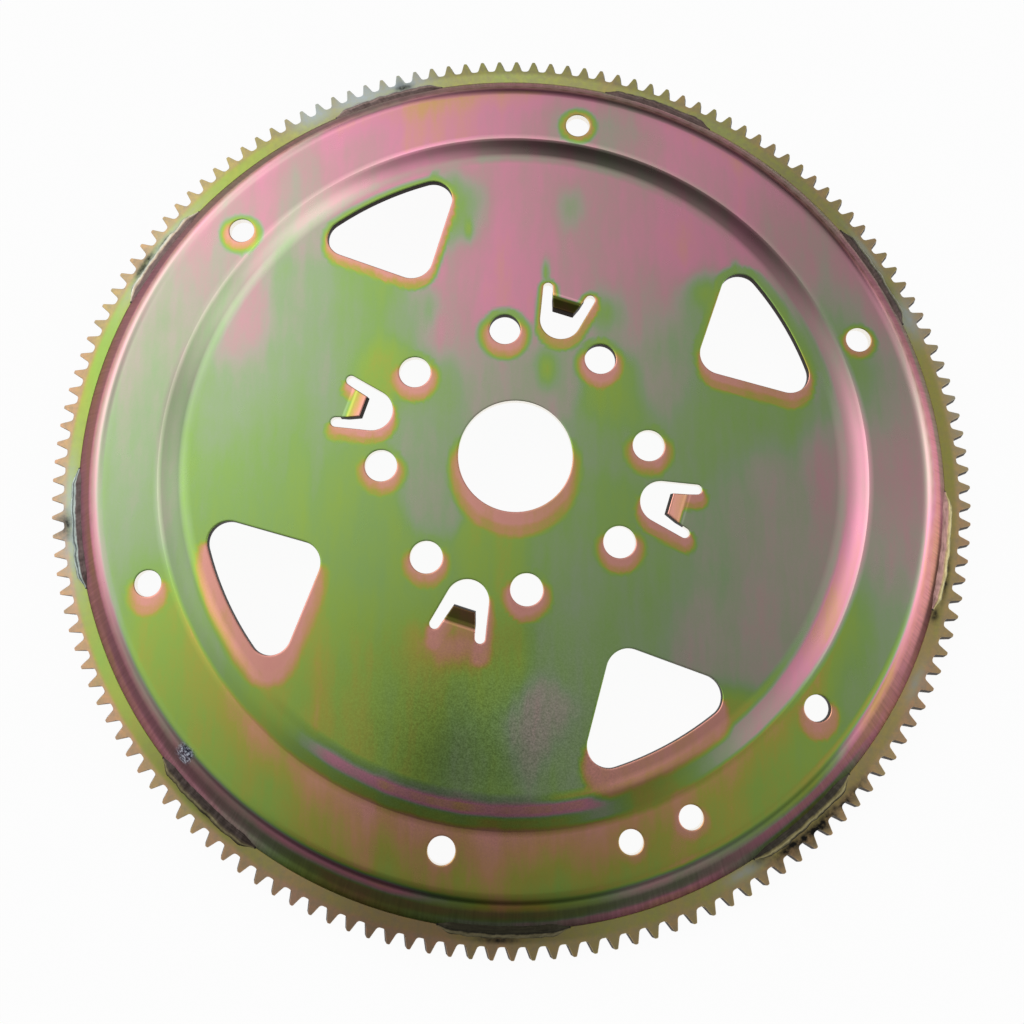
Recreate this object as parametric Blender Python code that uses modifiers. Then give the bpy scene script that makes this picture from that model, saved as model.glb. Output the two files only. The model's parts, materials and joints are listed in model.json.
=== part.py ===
"""Flexplate: a dished sheet-steel disc with a toothed ring welded round its rim.

The axis is Z. The ring gear's back face lies at Z = 0, the raised hub faces up,
and +X runs through one of the crankshaft bolt holes. Lengths are in metres.
"""

import math

import bmesh
import bpy
from mathutils import Matrix, Vector

MM = 0.001

# Clearance between pieces that touch
SEAT_GAP = 0.3 * MM

# Ring gear: its outside, the stock below the teeth, and the lead-in chamfer of each tooth
TEETH = 152
OUTER_RADIUS = 195.58 * MM
TOOTH_DEPTH = 4.9 * MM
PRESSURE_ANGLE = math.radians(20.0)
TOOTH_PHASE = math.radians(2.09)
RING_STOCK = 5.9 * MM
RING_WIDTH = 12.7 * MM
LEAD_IN_WIDTH = 1.1 * MM
LEAD_IN_DEPTH = 2.2 * MM

# Sheet and its press bends, each by the radius inside the bend
SHEET = 3.0 * MM
HUB_BEND = 22.0 * MM
STEP_BEND = 1.0 * MM
RIM_BEND = 5.0 * MM
FLANGE_BEND = 1.0 * MM

# Section of the disc
BORE_RADIUS = 23.3 * MM
DISH_DEPTH = 16.9 * MM
STEP_RUN = 8.2 * MM
STEP_DROP = 3.1 * MM
PAD_WIDTH = 24.9 * MM
RIM_SLOPE = math.radians(45.0)
FLANGE_DEPTH = 9.5 * MM

# Crankshaft bolt holes
CRANK_HOLES = 8
CRANK_CIRCLE_RADIUS = 54.7 * MM
CRANK_HOLE_RADIUS = 6.5 * MM

# Converter bolt holes, measured outwards from the pad's inner edge
CONVERTER_HOLES = 6
CONVERTER_INSET = 9.1 * MM
CONVERTER_HOLE_RADIUS = 5.25 * MM
CONVERTER_PHASE = math.radians(15.0)

# Two locating holes in the pad
LOCATING_HOLES = 2
LOCATING_INSET = 10.0 * MM
LOCATING_HOLE_RADIUS = 4.65 * MM
LOCATING_PHASE = math.radians(281.7)
LOCATING_SPACING = math.radians(9.1)

# Lightening windows, rounded triangles that point to the axis
WINDOWS = 4
WINDOW_MARGIN = 9.7 * MM
WINDOW_DEPTH = 39.9 * MM
WINDOW_APEX_ROUND = 9.0 * MM
WINDOW_CORNER_ROUND = 8.3 * MM
WINDOW_HALF_ANGLE = math.radians(42.9)

# Horseshoe slots, each round a tab that is bent up towards the front
TABS = 4
TAB_BEND_RADIUS = 71.3 * MM
TAB_LENGTH = 6.1 * MM
TAB_END_HALF_WIDTH = 4.45 * MM
TAB_ANGLE = math.radians(17.0)
SLOT_REACH = 17.9 * MM
SLOT_OVERRUN = 3.0 * MM
SLOT_NOSE_ROUND = 8.6 * MM
SLOT_LEG_ANGLE = math.radians(12.0)
SLOT_LEG_ROUND = 2.0 * MM

# Weld beads in the corner between the rim and the ring gear
WELDS = 9
WELD_PHASE = math.radians(24.0)
WELD_LENGTH = 52.0 * MM
WELD_LEG = 3.2 * MM
WELD_CROWN = 0.5 * MM
WELD_TAPER = 5.0 * MM
WELD_END_SIZE = 0.35

# Facets
TURNED_STEPS = 96
BEND_STEPS = 2
HOLE_SIDES = 24
ARC_STEP = math.radians(16.0)
WELD_STATIONS = 11
MERGE = 0.01 * MM
SHARP_ANGLE = math.radians(30.0)

# Radii and heights that follow from the sizes above
GEAR_MODULE = OUTER_RADIUS / (TEETH / 2 + 1)
PITCH_RADIUS = OUTER_RADIUS - GEAR_MODULE
ROOT_RADIUS = OUTER_RADIUS - TOOTH_DEPTH
RING_BORE_RADIUS = ROOT_RADIUS - RING_STOCK
FLANGE_RADIUS = RING_BORE_RADIUS - SEAT_GAP
HUB_Z = RING_WIDTH + DISH_DEPTH
PAD_Z = HUB_Z - STEP_DROP
FLANGE_Z = RING_WIDTH - FLANGE_DEPTH
PAD_OUTER_RADIUS = FLANGE_RADIUS - (PAD_Z - RING_WIDTH) * math.tan(RIM_SLOPE)
PAD_INNER_RADIUS = PAD_OUTER_RADIUS - PAD_WIDTH
HUB_RADIUS = PAD_INNER_RADIUS - STEP_RUN
WINDOW_OUTER_RADIUS = HUB_RADIUS - WINDOW_MARGIN
WINDOW_INNER_RADIUS = WINDOW_OUTER_RADIUS - WINDOW_DEPTH
WINDOW_PHASE = math.pi / CRANK_HOLES
TAB_PHASE = WINDOW_PHASE + math.pi / WINDOWS
TAB_END_RADIUS = TAB_BEND_RADIUS - TAB_LENGTH
SLOT_END_RADIUS = TAB_BEND_RADIUS + SLOT_OVERRUN


def collection(name):
    """Add a collection to the scene and return it."""
    made = bpy.data.collections.new(name)
    bpy.context.scene.collection.children.link(made)
    return made


def material(name, colour, roughness, metallic):
    """A plain Principled material."""
    made = bpy.data.materials.new(name)
    made.use_nodes = True
    shader = made.node_tree.nodes["Principled BSDF"]
    shader.inputs["Base Color"].default_value = (*colour, 1.0)
    shader.inputs["Roughness"].default_value = roughness
    shader.inputs["Metallic"].default_value = metallic
    return made


def add_object(name, data, home):
    """Link a new object to its collection."""
    made = bpy.data.objects.new(name, data)
    home.objects.link(made)
    return made


def mesh_object(name, shape, finish, home):
    """Turn a finished bmesh into a named object with its material."""
    mesh = bpy.data.meshes.new(name)
    shape.to_mesh(mesh)
    shape.free()
    mesh.materials.append(finish)
    return add_object(name, mesh, home)


def evaluated_mesh(source):
    """The mesh of an object with its curve or modifiers worked out."""
    bpy.context.view_layer.update()
    evaluated = source.evaluated_get(bpy.context.evaluated_depsgraph_get())
    return bpy.data.meshes.new_from_object(evaluated)


def polar(radius, angle):
    """Point of the plan at a radius and an angle."""
    return Vector((radius * math.cos(angle), radius * math.sin(angle)))


def about_axis(angle):
    """Rotation about the part's axis."""
    return Matrix.Rotation(angle, 4, "Z")


def arc(centre, radius, start, end, step=ARC_STEP):
    """Points along an arc, both ends included."""
    count = max(2, math.ceil(abs(end - start) / step))
    return [centre + polar(radius, start + (end - start) * i / count) for i in range(count + 1)]


def mirrored(half):
    """A closed outline from its half on the +Y side, symmetric about X."""
    return half + [Vector((p.x, -p.y)) for p in reversed(half) if abs(p.y) > MERGE]


def rounded_line(corners, radii, steps):
    """A line through the corners, with each inner one replaced by an arc."""
    points = [corners[0]]
    for before, corner, after, radius in zip(corners, corners[1:], corners[2:], radii):
        into = (corner - before).normalized()
        away = (after - corner).normalized()
        turn = into.angle_signed(away)
        reach = radius * math.tan(abs(turn) / 2)
        start = corner - into * reach
        centre = start - into.orthogonal() * math.copysign(radius, turn)
        for i in range(steps + 1):
            points.append(centre + Matrix.Rotation(-turn * i / steps, 2) @ (start - centre))
    points.append(corners[-1])
    return points


def prism(name, outline, low, high, home):
    """A flat outline as a 2D curve, extruded between two heights and made a mesh."""
    curve = bpy.data.curves.new(name, "CURVE")
    curve.dimensions = "2D"
    curve.fill_mode = "BOTH"
    curve.extrude = (high - low) / 2
    spline = curve.splines.new("POLY")
    spline.points.add(len(outline) - 1)
    for point, place in zip(spline.points, outline):
        point.co = (place.x, place.y, 0.0, 1.0)
    spline.use_cyclic_u = True
    source = add_object(name + "_outline", curve, home)
    source.location.z = (low + high) / 2
    mesh = evaluated_mesh(source)
    made = add_object(name, mesh, home)
    made.matrix_world = source.matrix_world
    bpy.data.objects.remove(source)
    caps = bmesh.new()
    caps.from_mesh(mesh)
    bmesh.ops.remove_doubles(caps, verts=caps.verts, dist=MERGE)
    bmesh.ops.recalc_face_normals(caps, faces=caps.faces)
    caps.to_mesh(mesh)
    caps.free()
    return made


def cut_ring(name, outline, count, phase, home):
    """Cutters of one outline, spaced evenly round the axis through the whole sheet."""
    first = prism(name, outline, PAD_Z - 2 * SHEET, HUB_Z + SHEET, home)
    place = first.matrix_world.copy()
    for i in range(count):
        made = first if i == 0 else add_object("%s_%d" % (name, i + 1), first.data, home)
        made.matrix_world = about_axis(phase + math.tau * i / count) @ place
        made.hide_render = True
        made.display_type = "WIRE"


def cut_holes(name, radius, circle_radius, face_z, angles, home):
    """A cylinder through the sheet below face_z for each hole of a bolt circle."""
    for i, angle in enumerate(angles):
        centre = polar(circle_radius, angle)
        bpy.ops.mesh.primitive_cylinder_add(
            vertices=HOLE_SIDES, radius=radius, depth=3 * SHEET,
            location=(centre.x, centre.y, face_z - SHEET / 2), rotation=(0.0, 0.0, angle))
        made = bpy.context.object
        made.name = "%s_%d" % (name, i + 1)
        for owner in list(made.users_collection):
            owner.objects.unlink(made)
        home.objects.link(made)
        made.hide_render = True
        made.display_type = "WIRE"


def window_outline():
    """A triangle with rounded corners whose outer side is an arc about the axis."""
    apex = Vector((WINDOW_INNER_RADIUS + WINDOW_APEX_ROUND, 0.0))
    side_normal = math.pi / 2 + WINDOW_HALF_ANGLE
    along = polar(1.0, WINDOW_HALF_ANGLE)
    start = apex + polar(WINDOW_APEX_ROUND - WINDOW_CORNER_ROUND, side_normal)
    reach = WINDOW_OUTER_RADIUS - WINDOW_CORNER_ROUND
    run = -start.dot(along) + math.sqrt(start.dot(along) ** 2 - start.length_squared + reach ** 2)
    corner = start + along * run
    corner_angle = math.atan2(corner.y, corner.x)
    half = arc(apex, WINDOW_APEX_ROUND, math.pi, side_normal)
    half += arc(corner, WINDOW_CORNER_ROUND, side_normal, corner_angle)
    half += arc(Vector((0.0, 0.0)), WINDOW_OUTER_RADIUS, corner_angle, 0.0, ARC_STEP / 4)[1:]
    return mirrored(half)


def slot_nose():
    """Centre of the round nose of a slot."""
    return Vector((TAB_BEND_RADIUS - SLOT_REACH + SLOT_NOSE_ROUND, 0.0))


def slot_leg_end():
    """Centre of the round end of a slot's leg, whose outer side leaves the nose tangentially."""
    start = slot_nose() + polar(SLOT_NOSE_ROUND - SLOT_LEG_ROUND, math.pi / 2 + SLOT_LEG_ANGLE)
    return start + polar((SLOT_END_RADIUS - start.x) / math.cos(SLOT_LEG_ANGLE), SLOT_LEG_ANGLE)


def slot_outline():
    """A horseshoe: round nose, two spreading legs with round ends, and the edge of the tab."""
    outer_normal = math.pi / 2 + SLOT_LEG_ANGLE
    leg_end = slot_leg_end()
    tab_corner = Vector((TAB_END_RADIUS, TAB_END_HALF_WIDTH))
    to_end = leg_end - tab_corner
    tab_side = math.atan2(to_end.y, to_end.x) - math.asin(SLOT_LEG_ROUND / to_end.length)
    half = arc(slot_nose(), SLOT_NOSE_ROUND, math.pi, outer_normal)
    half += arc(leg_end, SLOT_LEG_ROUND, outer_normal, tab_side - math.pi / 2, 2 * ARC_STEP)
    half.append(tab_corner)
    return mirrored(half)


def on_tab(place):
    """Whether a point in a tab's own frame is on the tab, between its end and its bend line."""
    share = (place.x - TAB_END_RADIUS) / (SLOT_END_RADIUS - TAB_END_RADIUS)
    mid_slot = TAB_END_HALF_WIDTH + SLOT_LEG_ROUND
    half_width = mid_slot + (slot_leg_end().y - mid_slot) * share
    inside = TAB_END_RADIUS - MERGE < place.x < TAB_BEND_RADIUS - MERGE
    return inside and abs(place.y) < half_width


def bend_tabs(mesh):
    """Crease the sheet along each tab's bend line and turn the tab up about it."""
    sheet = bmesh.new()
    sheet.from_mesh(mesh)
    for i in range(TABS):
        turn = about_axis(TAB_PHASE + math.tau * i / TABS)
        flat = turn.inverted()
        pivot = turn @ Vector((TAB_BEND_RADIUS, 0.0, HUB_Z))
        outwards = turn.to_3x3() @ Vector((1.0, 0.0, 0.0))
        bend_line = turn.to_3x3() @ Vector((0.0, 1.0, 0.0))
        faces = [f for f in sheet.faces if any(on_tab(flat @ v.co) for v in f.verts)]
        edges = list({e for f in faces for e in f.edges})
        verts = list({v for f in faces for v in f.verts})
        bmesh.ops.bisect_plane(
            sheet, geom=verts + edges + faces, dist=MERGE / 100, plane_co=pivot, plane_no=outwards)
        free = [v for v in sheet.verts if on_tab(flat @ v.co)]
        bmesh.ops.rotate(
            sheet, verts=free, cent=pivot, matrix=Matrix.Rotation(TAB_ANGLE, 3, bend_line))
    sheet.to_mesh(mesh)
    sheet.free()


def turned_sheet(home):
    """The disc's front face as a turned line, thickened inwards to the sheet."""
    corners = [
        Vector((BORE_RADIUS, HUB_Z)),
        Vector((HUB_RADIUS, HUB_Z)),
        Vector((PAD_INNER_RADIUS, PAD_Z)),
        Vector((PAD_OUTER_RADIUS, PAD_Z)),
        Vector((FLANGE_RADIUS, RING_WIDTH)),
        Vector((FLANGE_RADIUS, FLANGE_Z)),
    ]
    radii = (HUB_BEND + SHEET, STEP_BEND, RIM_BEND + SHEET, FLANGE_BEND + SHEET)
    line = rounded_line(corners, radii, BEND_STEPS)
    mesh = bpy.data.meshes.new("disc")
    mesh.from_pydata([(p.x, 0.0, p.y) for p in line], [(i, i + 1) for i in range(len(line) - 1)], [])
    disc = add_object("disc", mesh, home)
    turned = disc.modifiers.new("turned", "SCREW")
    turned.axis = "Z"
    turned.angle = math.tau
    turned.steps = TURNED_STEPS
    turned.render_steps = TURNED_STEPS
    turned.use_merge_vertices = True
    turned.merge_threshold = MERGE
    shell = disc.modifiers.new("shell", "SOLIDIFY")
    shell.thickness = SHEET
    shell.offset = -1.0
    shell.use_even_offset = True
    return disc


def make_disc(home, cutters):
    """The stamped disc: turned sheet, pierced, with its tabs bent up."""
    disc = turned_sheet(home)
    crank = [math.tau * i / CRANK_HOLES for i in range(CRANK_HOLES)]
    cut_holes("crank_hole", CRANK_HOLE_RADIUS, CRANK_CIRCLE_RADIUS, HUB_Z, crank, cutters)
    converter = [CONVERTER_PHASE + math.tau * i / CONVERTER_HOLES for i in range(CONVERTER_HOLES)]
    circle_radius = PAD_INNER_RADIUS + CONVERTER_INSET
    cut_holes("converter_hole", CONVERTER_HOLE_RADIUS, circle_radius, PAD_Z, converter, cutters)
    locating = [LOCATING_PHASE + LOCATING_SPACING * i for i in range(LOCATING_HOLES)]
    circle_radius = PAD_INNER_RADIUS + LOCATING_INSET
    cut_holes("locating_hole", LOCATING_HOLE_RADIUS, circle_radius, PAD_Z, locating, cutters)
    cut_ring("window", window_outline(), WINDOWS, WINDOW_PHASE, cutters)
    cut_ring("slot", slot_outline(), TABS, TAB_PHASE, cutters)
    pierced = disc.modifiers.new("pierced", "BOOLEAN")
    pierced.operation = "DIFFERENCE"
    pierced.solver = "EXACT"
    pierced.operand_type = "COLLECTION"
    pierced.collection = cutters

    solid = evaluated_mesh(disc)
    disc.modifiers.clear()
    disc.data = solid
    bend_tabs(solid)
    solid.shade_smooth()
    solid.set_sharp_from_angle(angle=SHARP_ANGLE)
    solid.materials.clear()
    solid.materials.append(material("yellow_zinc_sheet", (0.36, 0.38, 0.16), 0.3, 0.8))
    return disc


def tooth_outline(centre, lead_in):
    """Root, tip, tip and root of a tooth, its clockwise flank first and set back by lead_in."""
    points = []
    for radius, side in ((ROOT_RADIUS, -1), (OUTER_RADIUS, -1), (OUTER_RADIUS, 1), (ROOT_RADIUS, 1)):
        thickness = math.pi * GEAR_MODULE / 2 - 2 * (radius - PITCH_RADIUS) * math.tan(PRESSURE_ANGLE)
        offset = side * thickness / 2 + (lead_in if side < 0 else 0.0)
        points.append(polar(radius, centre + offset / radius))
    return points


def make_ring_gear(home):
    """The ring gear: a loft of its toothed outline, whose front section has the lead-ins."""
    gear = bmesh.new()
    pitch = math.tau / TEETH
    rims = []
    for height, lead_in in ((0.0, 0.0), (RING_WIDTH - LEAD_IN_DEPTH, 0.0), (RING_WIDTH, LEAD_IN_WIDTH)):
        places = [p for i in range(TEETH) for p in tooth_outline(TOOTH_PHASE + pitch * i, lead_in)]
        rims.append([gear.verts.new((p.x, p.y, height)) for p in places])
    bores = []
    for height in (0.0, RING_WIDTH):
        places = [polar(RING_BORE_RADIUS, TOOTH_PHASE + pitch * (i - 0.5)) for i in range(TEETH)]
        bores.append([gear.verts.new((p.x, p.y, height)) for p in places])

    around = len(rims[0])
    for lower, upper in zip(rims, rims[1:]):
        for i in range(around):
            k = (i + 1) % around
            gear.faces.new((lower[i], lower[k], upper[k], upper[i]))
    for i in range(TEETH):
        k = (i + 1) % TEETH
        gear.faces.new((bores[0][k], bores[0][i], bores[1][i], bores[1][k]))
        for rim, bore, order in ((rims[0], bores[0], -1), (rims[-1], bores[1], 1)):
            tooth = [bore[i]] + rim[4 * i:4 * i + 4] + [bore[k]]
            space = [bore[k], rim[4 * i + 3], rim[4 * k]]
            gear.faces.new(tooth[::order])
            gear.faces.new(space[::order])
    finish = material("yellow_zinc_gear", (0.40, 0.36, 0.24), 0.35, 0.8)
    return mesh_object("ring_gear", gear, finish, home)


def weld_section(size):
    """Root, foot, crown and top of a fillet in the corner of rim and gear, in radius and height."""
    root = Vector((
        FLANGE_RADIUS + SEAT_GAP * (1 - math.sin(RIM_SLOPE)) / math.cos(RIM_SLOPE),
        RING_WIDTH + SEAT_GAP))
    up_rim = Vector((-math.sin(RIM_SLOPE), math.cos(RIM_SLOPE)))
    foot = root + Vector((WELD_LEG * size, 0.0))
    top = root + up_rim * WELD_LEG * size
    outwards = (foot - top).orthogonal().normalized()
    crown = (foot + top) / 2 + outwards * WELD_CROWN * size
    return [root, foot, crown, top]


def make_weld(index, finish, home):
    """One bead, lofted along the rim from sections that shrink towards its ends."""
    bead = bmesh.new()
    middle = WELD_PHASE + math.tau * index / WELDS
    rings = []
    for i in range(WELD_STATIONS):
        along = -math.cos(math.pi * i / (WELD_STATIONS - 1)) * WELD_LENGTH / 2
        full = min(1.0, (WELD_LENGTH / 2 - abs(along)) / WELD_TAPER)
        ring = []
        for place in weld_section(WELD_END_SIZE + (1 - WELD_END_SIZE) * full):
            flat = polar(place.x, middle + along / FLANGE_RADIUS)
            ring.append(bead.verts.new((flat.x, flat.y, place.y)))
        rings.append(ring)
    for first, second in zip(rings, rings[1:]):
        for i in range(len(first)):
            k = (i + 1) % len(first)
            bead.faces.new((first[i], first[k], second[k], second[i]))
    bead.faces.new(rings[0])
    bead.faces.new(rings[-1])
    bmesh.ops.recalc_face_normals(bead, faces=bead.faces)
    return mesh_object("rim_weld_%d" % (index + 1), bead, finish, home)


def main():
    """Clear the scene and build every piece."""
    for old in list(bpy.data.objects):
        bpy.data.objects.remove(old)
    parts = collection("flexplate")
    cutters = collection("cutters")
    make_disc(parts, cutters)
    make_ring_gear(parts)
    bead_finish = material("weld_bead", (0.45, 0.45, 0.40), 0.4, 0.8)
    for index in range(WELDS):
        make_weld(index, bead_finish, parts)


main()
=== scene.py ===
"""Looks of the flexplate: yellow-zinc sheet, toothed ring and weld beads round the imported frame.

Lengths are in metres. The finish is laid out in the view-up frame, which is the part's
frame turned by VIEW_TURN, so that its Y axis points up in the main view.
"""

import json
import math

import bpy
import numpy as np
from mathutils import Matrix, Vector, geometry, noise


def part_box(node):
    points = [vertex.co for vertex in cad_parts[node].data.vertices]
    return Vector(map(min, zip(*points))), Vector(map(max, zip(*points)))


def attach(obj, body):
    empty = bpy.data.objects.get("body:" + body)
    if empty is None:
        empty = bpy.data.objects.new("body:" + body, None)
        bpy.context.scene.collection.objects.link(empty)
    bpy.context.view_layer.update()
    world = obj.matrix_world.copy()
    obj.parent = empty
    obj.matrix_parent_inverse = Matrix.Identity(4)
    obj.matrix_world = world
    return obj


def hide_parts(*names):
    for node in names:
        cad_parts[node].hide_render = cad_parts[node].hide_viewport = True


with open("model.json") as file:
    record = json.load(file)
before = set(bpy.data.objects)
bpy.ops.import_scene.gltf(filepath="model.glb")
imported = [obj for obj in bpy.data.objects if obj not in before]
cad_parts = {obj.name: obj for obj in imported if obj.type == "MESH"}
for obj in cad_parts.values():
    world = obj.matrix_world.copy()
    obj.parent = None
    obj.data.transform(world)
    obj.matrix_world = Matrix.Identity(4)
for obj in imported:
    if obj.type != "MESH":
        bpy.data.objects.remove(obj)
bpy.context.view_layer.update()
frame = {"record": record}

MM = 0.001
MOUNT_HEIGHTS = {mount["name"]: mount["pos_m"][2] for mount in frame["record"]["mounts"]}
DISC_LOW, DISC_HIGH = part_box("disc")
GEAR_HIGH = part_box("ring_gear")[1]

# Sizes read from the frame
HUB_Z = MOUNT_HEIGHTS["hub_front"]
PAD_Z = MOUNT_HEIGHTS["pad_front"]
SHEET = HUB_Z - MOUNT_HEIGHTS["hub_back"]
RING_WIDTH = GEAR_HIGH.z
FLANGE_Z = DISC_LOW.z
FLANGE_RADIUS = DISC_HIGH.x

# Section of the disc, as on the frame's disc; the ring is pressed on almost without a gap
SEAT_GAP = 0.05 * MM
HUB_BEND = 22.0 * MM
STEP_BEND = 1.0 * MM
RIM_BEND = 5.0 * MM
FLANGE_CORNER = 0.5 * MM
BORE_RADIUS = 23.3 * MM
PAD_WIDTH = 24.9 * MM
STEP_RUN = 8.2 * MM
RIM_SLOPE = math.radians(45.0)
STEP_SLOPE = math.atan((HUB_Z - PAD_Z) / STEP_RUN)
PAD_OUTER_RADIUS = FLANGE_RADIUS - (PAD_Z - RING_WIDTH) * math.tan(RIM_SLOPE)
PAD_INNER_RADIUS = PAD_OUTER_RADIUS - PAD_WIDTH
HUB_RADIUS = PAD_INNER_RADIUS - STEP_RUN

# Holes of the disc
CRANK_HOLES = 8
CRANK_CIRCLE_RADIUS = 54.7 * MM
CRANK_HOLE_RADIUS = 6.5 * MM
CONVERTER_HOLES = 6
CONVERTER_CIRCLE_RADIUS = PAD_INNER_RADIUS + 9.1 * MM
CONVERTER_HOLE_RADIUS = 5.25 * MM
CONVERTER_PHASE = math.radians(15.0)
LOCATING_ANGLES = (math.radians(281.7), math.radians(290.8))
LOCATING_CIRCLE_RADIUS = PAD_INNER_RADIUS + 10.0 * MM
LOCATING_HOLE_RADIUS = 4.65 * MM

# Walls of the cuts, by the number of their material: pale with a painted reflection, or dark with
# painted shade; the windows' and the tabs' are dark, and of the round holes' only these few
WALL_PAINTED_BRIGHT = 1
WALL_PAINTED_DARK = 2
PAINTED_DARK_ROUND_HOLES = (2, 3)
PAINTED_DARK_PAD_HOLES = (5,)

# Lightening windows
WINDOWS = 4
WINDOW_OUTER_RADIUS = HUB_RADIUS - 9.7 * MM
WINDOW_INNER_RADIUS = WINDOW_OUTER_RADIUS - 39.9 * MM
WINDOW_APEX_ROUND = 9.0 * MM
WINDOW_CORNER_ROUND = 8.3 * MM
WINDOW_HALF_ANGLE = math.radians(42.9)
WINDOW_PHASE = math.pi / CRANK_HOLES

# Slots and the tabs in them
TABS = 4
TAB_PHASE = WINDOW_PHASE + math.pi / WINDOWS
TAB_BEND_RADIUS = 71.3 * MM
TAB_END_RADIUS = TAB_BEND_RADIUS - 6.1 * MM
TAB_END_HALF_WIDTH = 4.45 * MM
TAB_ANGLE = math.radians(17.0)
TAB_BEND_RUN = 1.6 * MM
SLOT_NOSE_ROUND = 8.6 * MM
SLOT_NOSE_X = TAB_BEND_RADIUS - 17.9 * MM + SLOT_NOSE_ROUND
SLOT_END_RADIUS = TAB_BEND_RADIUS + 3.0 * MM
SLOT_LEG_ANGLE = math.radians(12.0)
SLOT_LEG_ROUND = 2.0 * MM

# Blanked edges: the rolled front edge, the burr behind, and the flat support round them
EDGE_ROUND = 0.4 * MM
EDGE_STEPS = 4
BURR_ROUND = 0.12 * MM
SHEAR_DEPTH = 2.0 * MM
EDGE_SUPPORT = 0.9 * MM
TAB_EDGE_RADIUS = TAB_END_RADIUS - EDGE_ROUND
LIP_ROUND = 0.5 * MM
HUB_FLAT_END = 6.4 * MM
PAD_FLAT_START = 2.2 * MM
PAD_FLAT_END = 4.8 * MM

# Fineness of the disc's mesh
AROUND = 384
BEND_STEPS = 8
HOLE_SIDES = 72
ARC_STEP = math.radians(5.0)
BAND_SPACING = 2.5 * MM
SIDE_SPACING = 0.5 * MM
FRONT_SPACING = 1.4 * MM
BACK_SPACING = 6.0 * MM
TAB_SPACING = 0.55 * MM
TAB_MARGINS = (1.6 * MM, 1.7 * MM)
TAB_COLUMNS = 9
CLEAR_OF_EDGE = 1.1 * MM
SHARP_ANGLE = math.radians(35.0)

# Ring gear
TEETH = 152
GEAR_MODULE = 2.54 * MM
PITCH_RADIUS = GEAR_MODULE * TEETH / 2
TIP_RADIUS = PITCH_RADIUS + GEAR_MODULE
ROOT_RADIUS = TIP_RADIUS - 4.9 * MM
RING_BORE_RADIUS = FLANGE_RADIUS + SEAT_GAP
PRESSURE_ANGLE = math.radians(20.0)
TOOTH_PHASE = math.radians(2.09)
LEAD_IN_WIDTH = 0.85 * MM
LEAD_IN_DEPTH = 2.2 * MM
ROOT_FILLET = 1.5 * MM
TIP_ROUND = 0.55 * MM
TOOTH_EDGE = 0.2 * MM
BORE_CHAMFER = 0.10 * MM
GEAR_SUPPORT = 0.7 * MM
GEAR_FACE_RINGS = 8
TOOTH_STEPS = 4
GEAR_SHARP_ANGLE = math.radians(20.0)

# Weld beads
WELDS = 9
WELD_PHASE = math.radians(24.0)
WELD_LENGTH = 52.0 * MM
WELD_LEG = 3.3 * MM
WELD_CROWN = 0.45 * MM
WELD_TAPER = 7.0 * MM
WELD_END_SIZE = 0.3
WELD_STATIONS = 220
WELD_SIDES = 16
WELD_RIPPLE = 1.9 * MM
WELD_RIPPLE_HEIGHT = 0.02 * MM
WELD_LUMPS = 0.26 * MM
WELD_LUMP_LENGTH = 3.6 * MM
WELD_WANDER = 0.16
WELD_WANDER_LENGTH = 5.0 * MM
WELD_TOE = 0.20
WELD_SINK = 0.25 * MM
WELD_FULLNESS = 0.8
WELD_RIPPLE_LAG = 5.0 * MM
WELD_SEED_STEP = 7.3
WELD_FOOT_SEED = 31
WELD_TOP_SEED = 57
WELD_LUMP_SHARE = 1.6
WELD_SHARP_ANGLE = math.radians(60.0)

# Main view
VIEW_TURN = math.radians(4.6)
CAMERA_PLACE = Vector((-12.05, -79.99, 344.0)) * MM
CAMERA_AIM = Vector((-3.28, -23.2, 29.6)) * MM
CAMERA_LENS = 27.98
CAMERA_SENSOR = 36.0
CAMERA_CLIP = 10.0 * MM

# The plated film: colours by thickness, thin to thick
FILM_RANGE = 1.1
FILM_COLOURS = (
    (0.00, (0.70, 0.30, 0.27)),
    (0.14, (0.73, 0.34, 0.275)),
    (0.23, (0.61, 0.34, 0.155)),
    (0.31, (0.43, 0.41, 0.08)),
    (0.40, (0.31, 0.46, 0.09)),
    (0.52, (0.27, 0.43, 0.13)),
    (0.64, (0.31, 0.41, 0.23)),
    (0.74, (0.42, 0.38, 0.31)),
    (0.84, (0.55, 0.31, 0.33)),
    (0.94, (0.68, 0.28, 0.38)),
    (1.02, (0.68, 0.31, 0.30)),
    (1.10, (0.62, 0.36, 0.17)),
)

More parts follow.
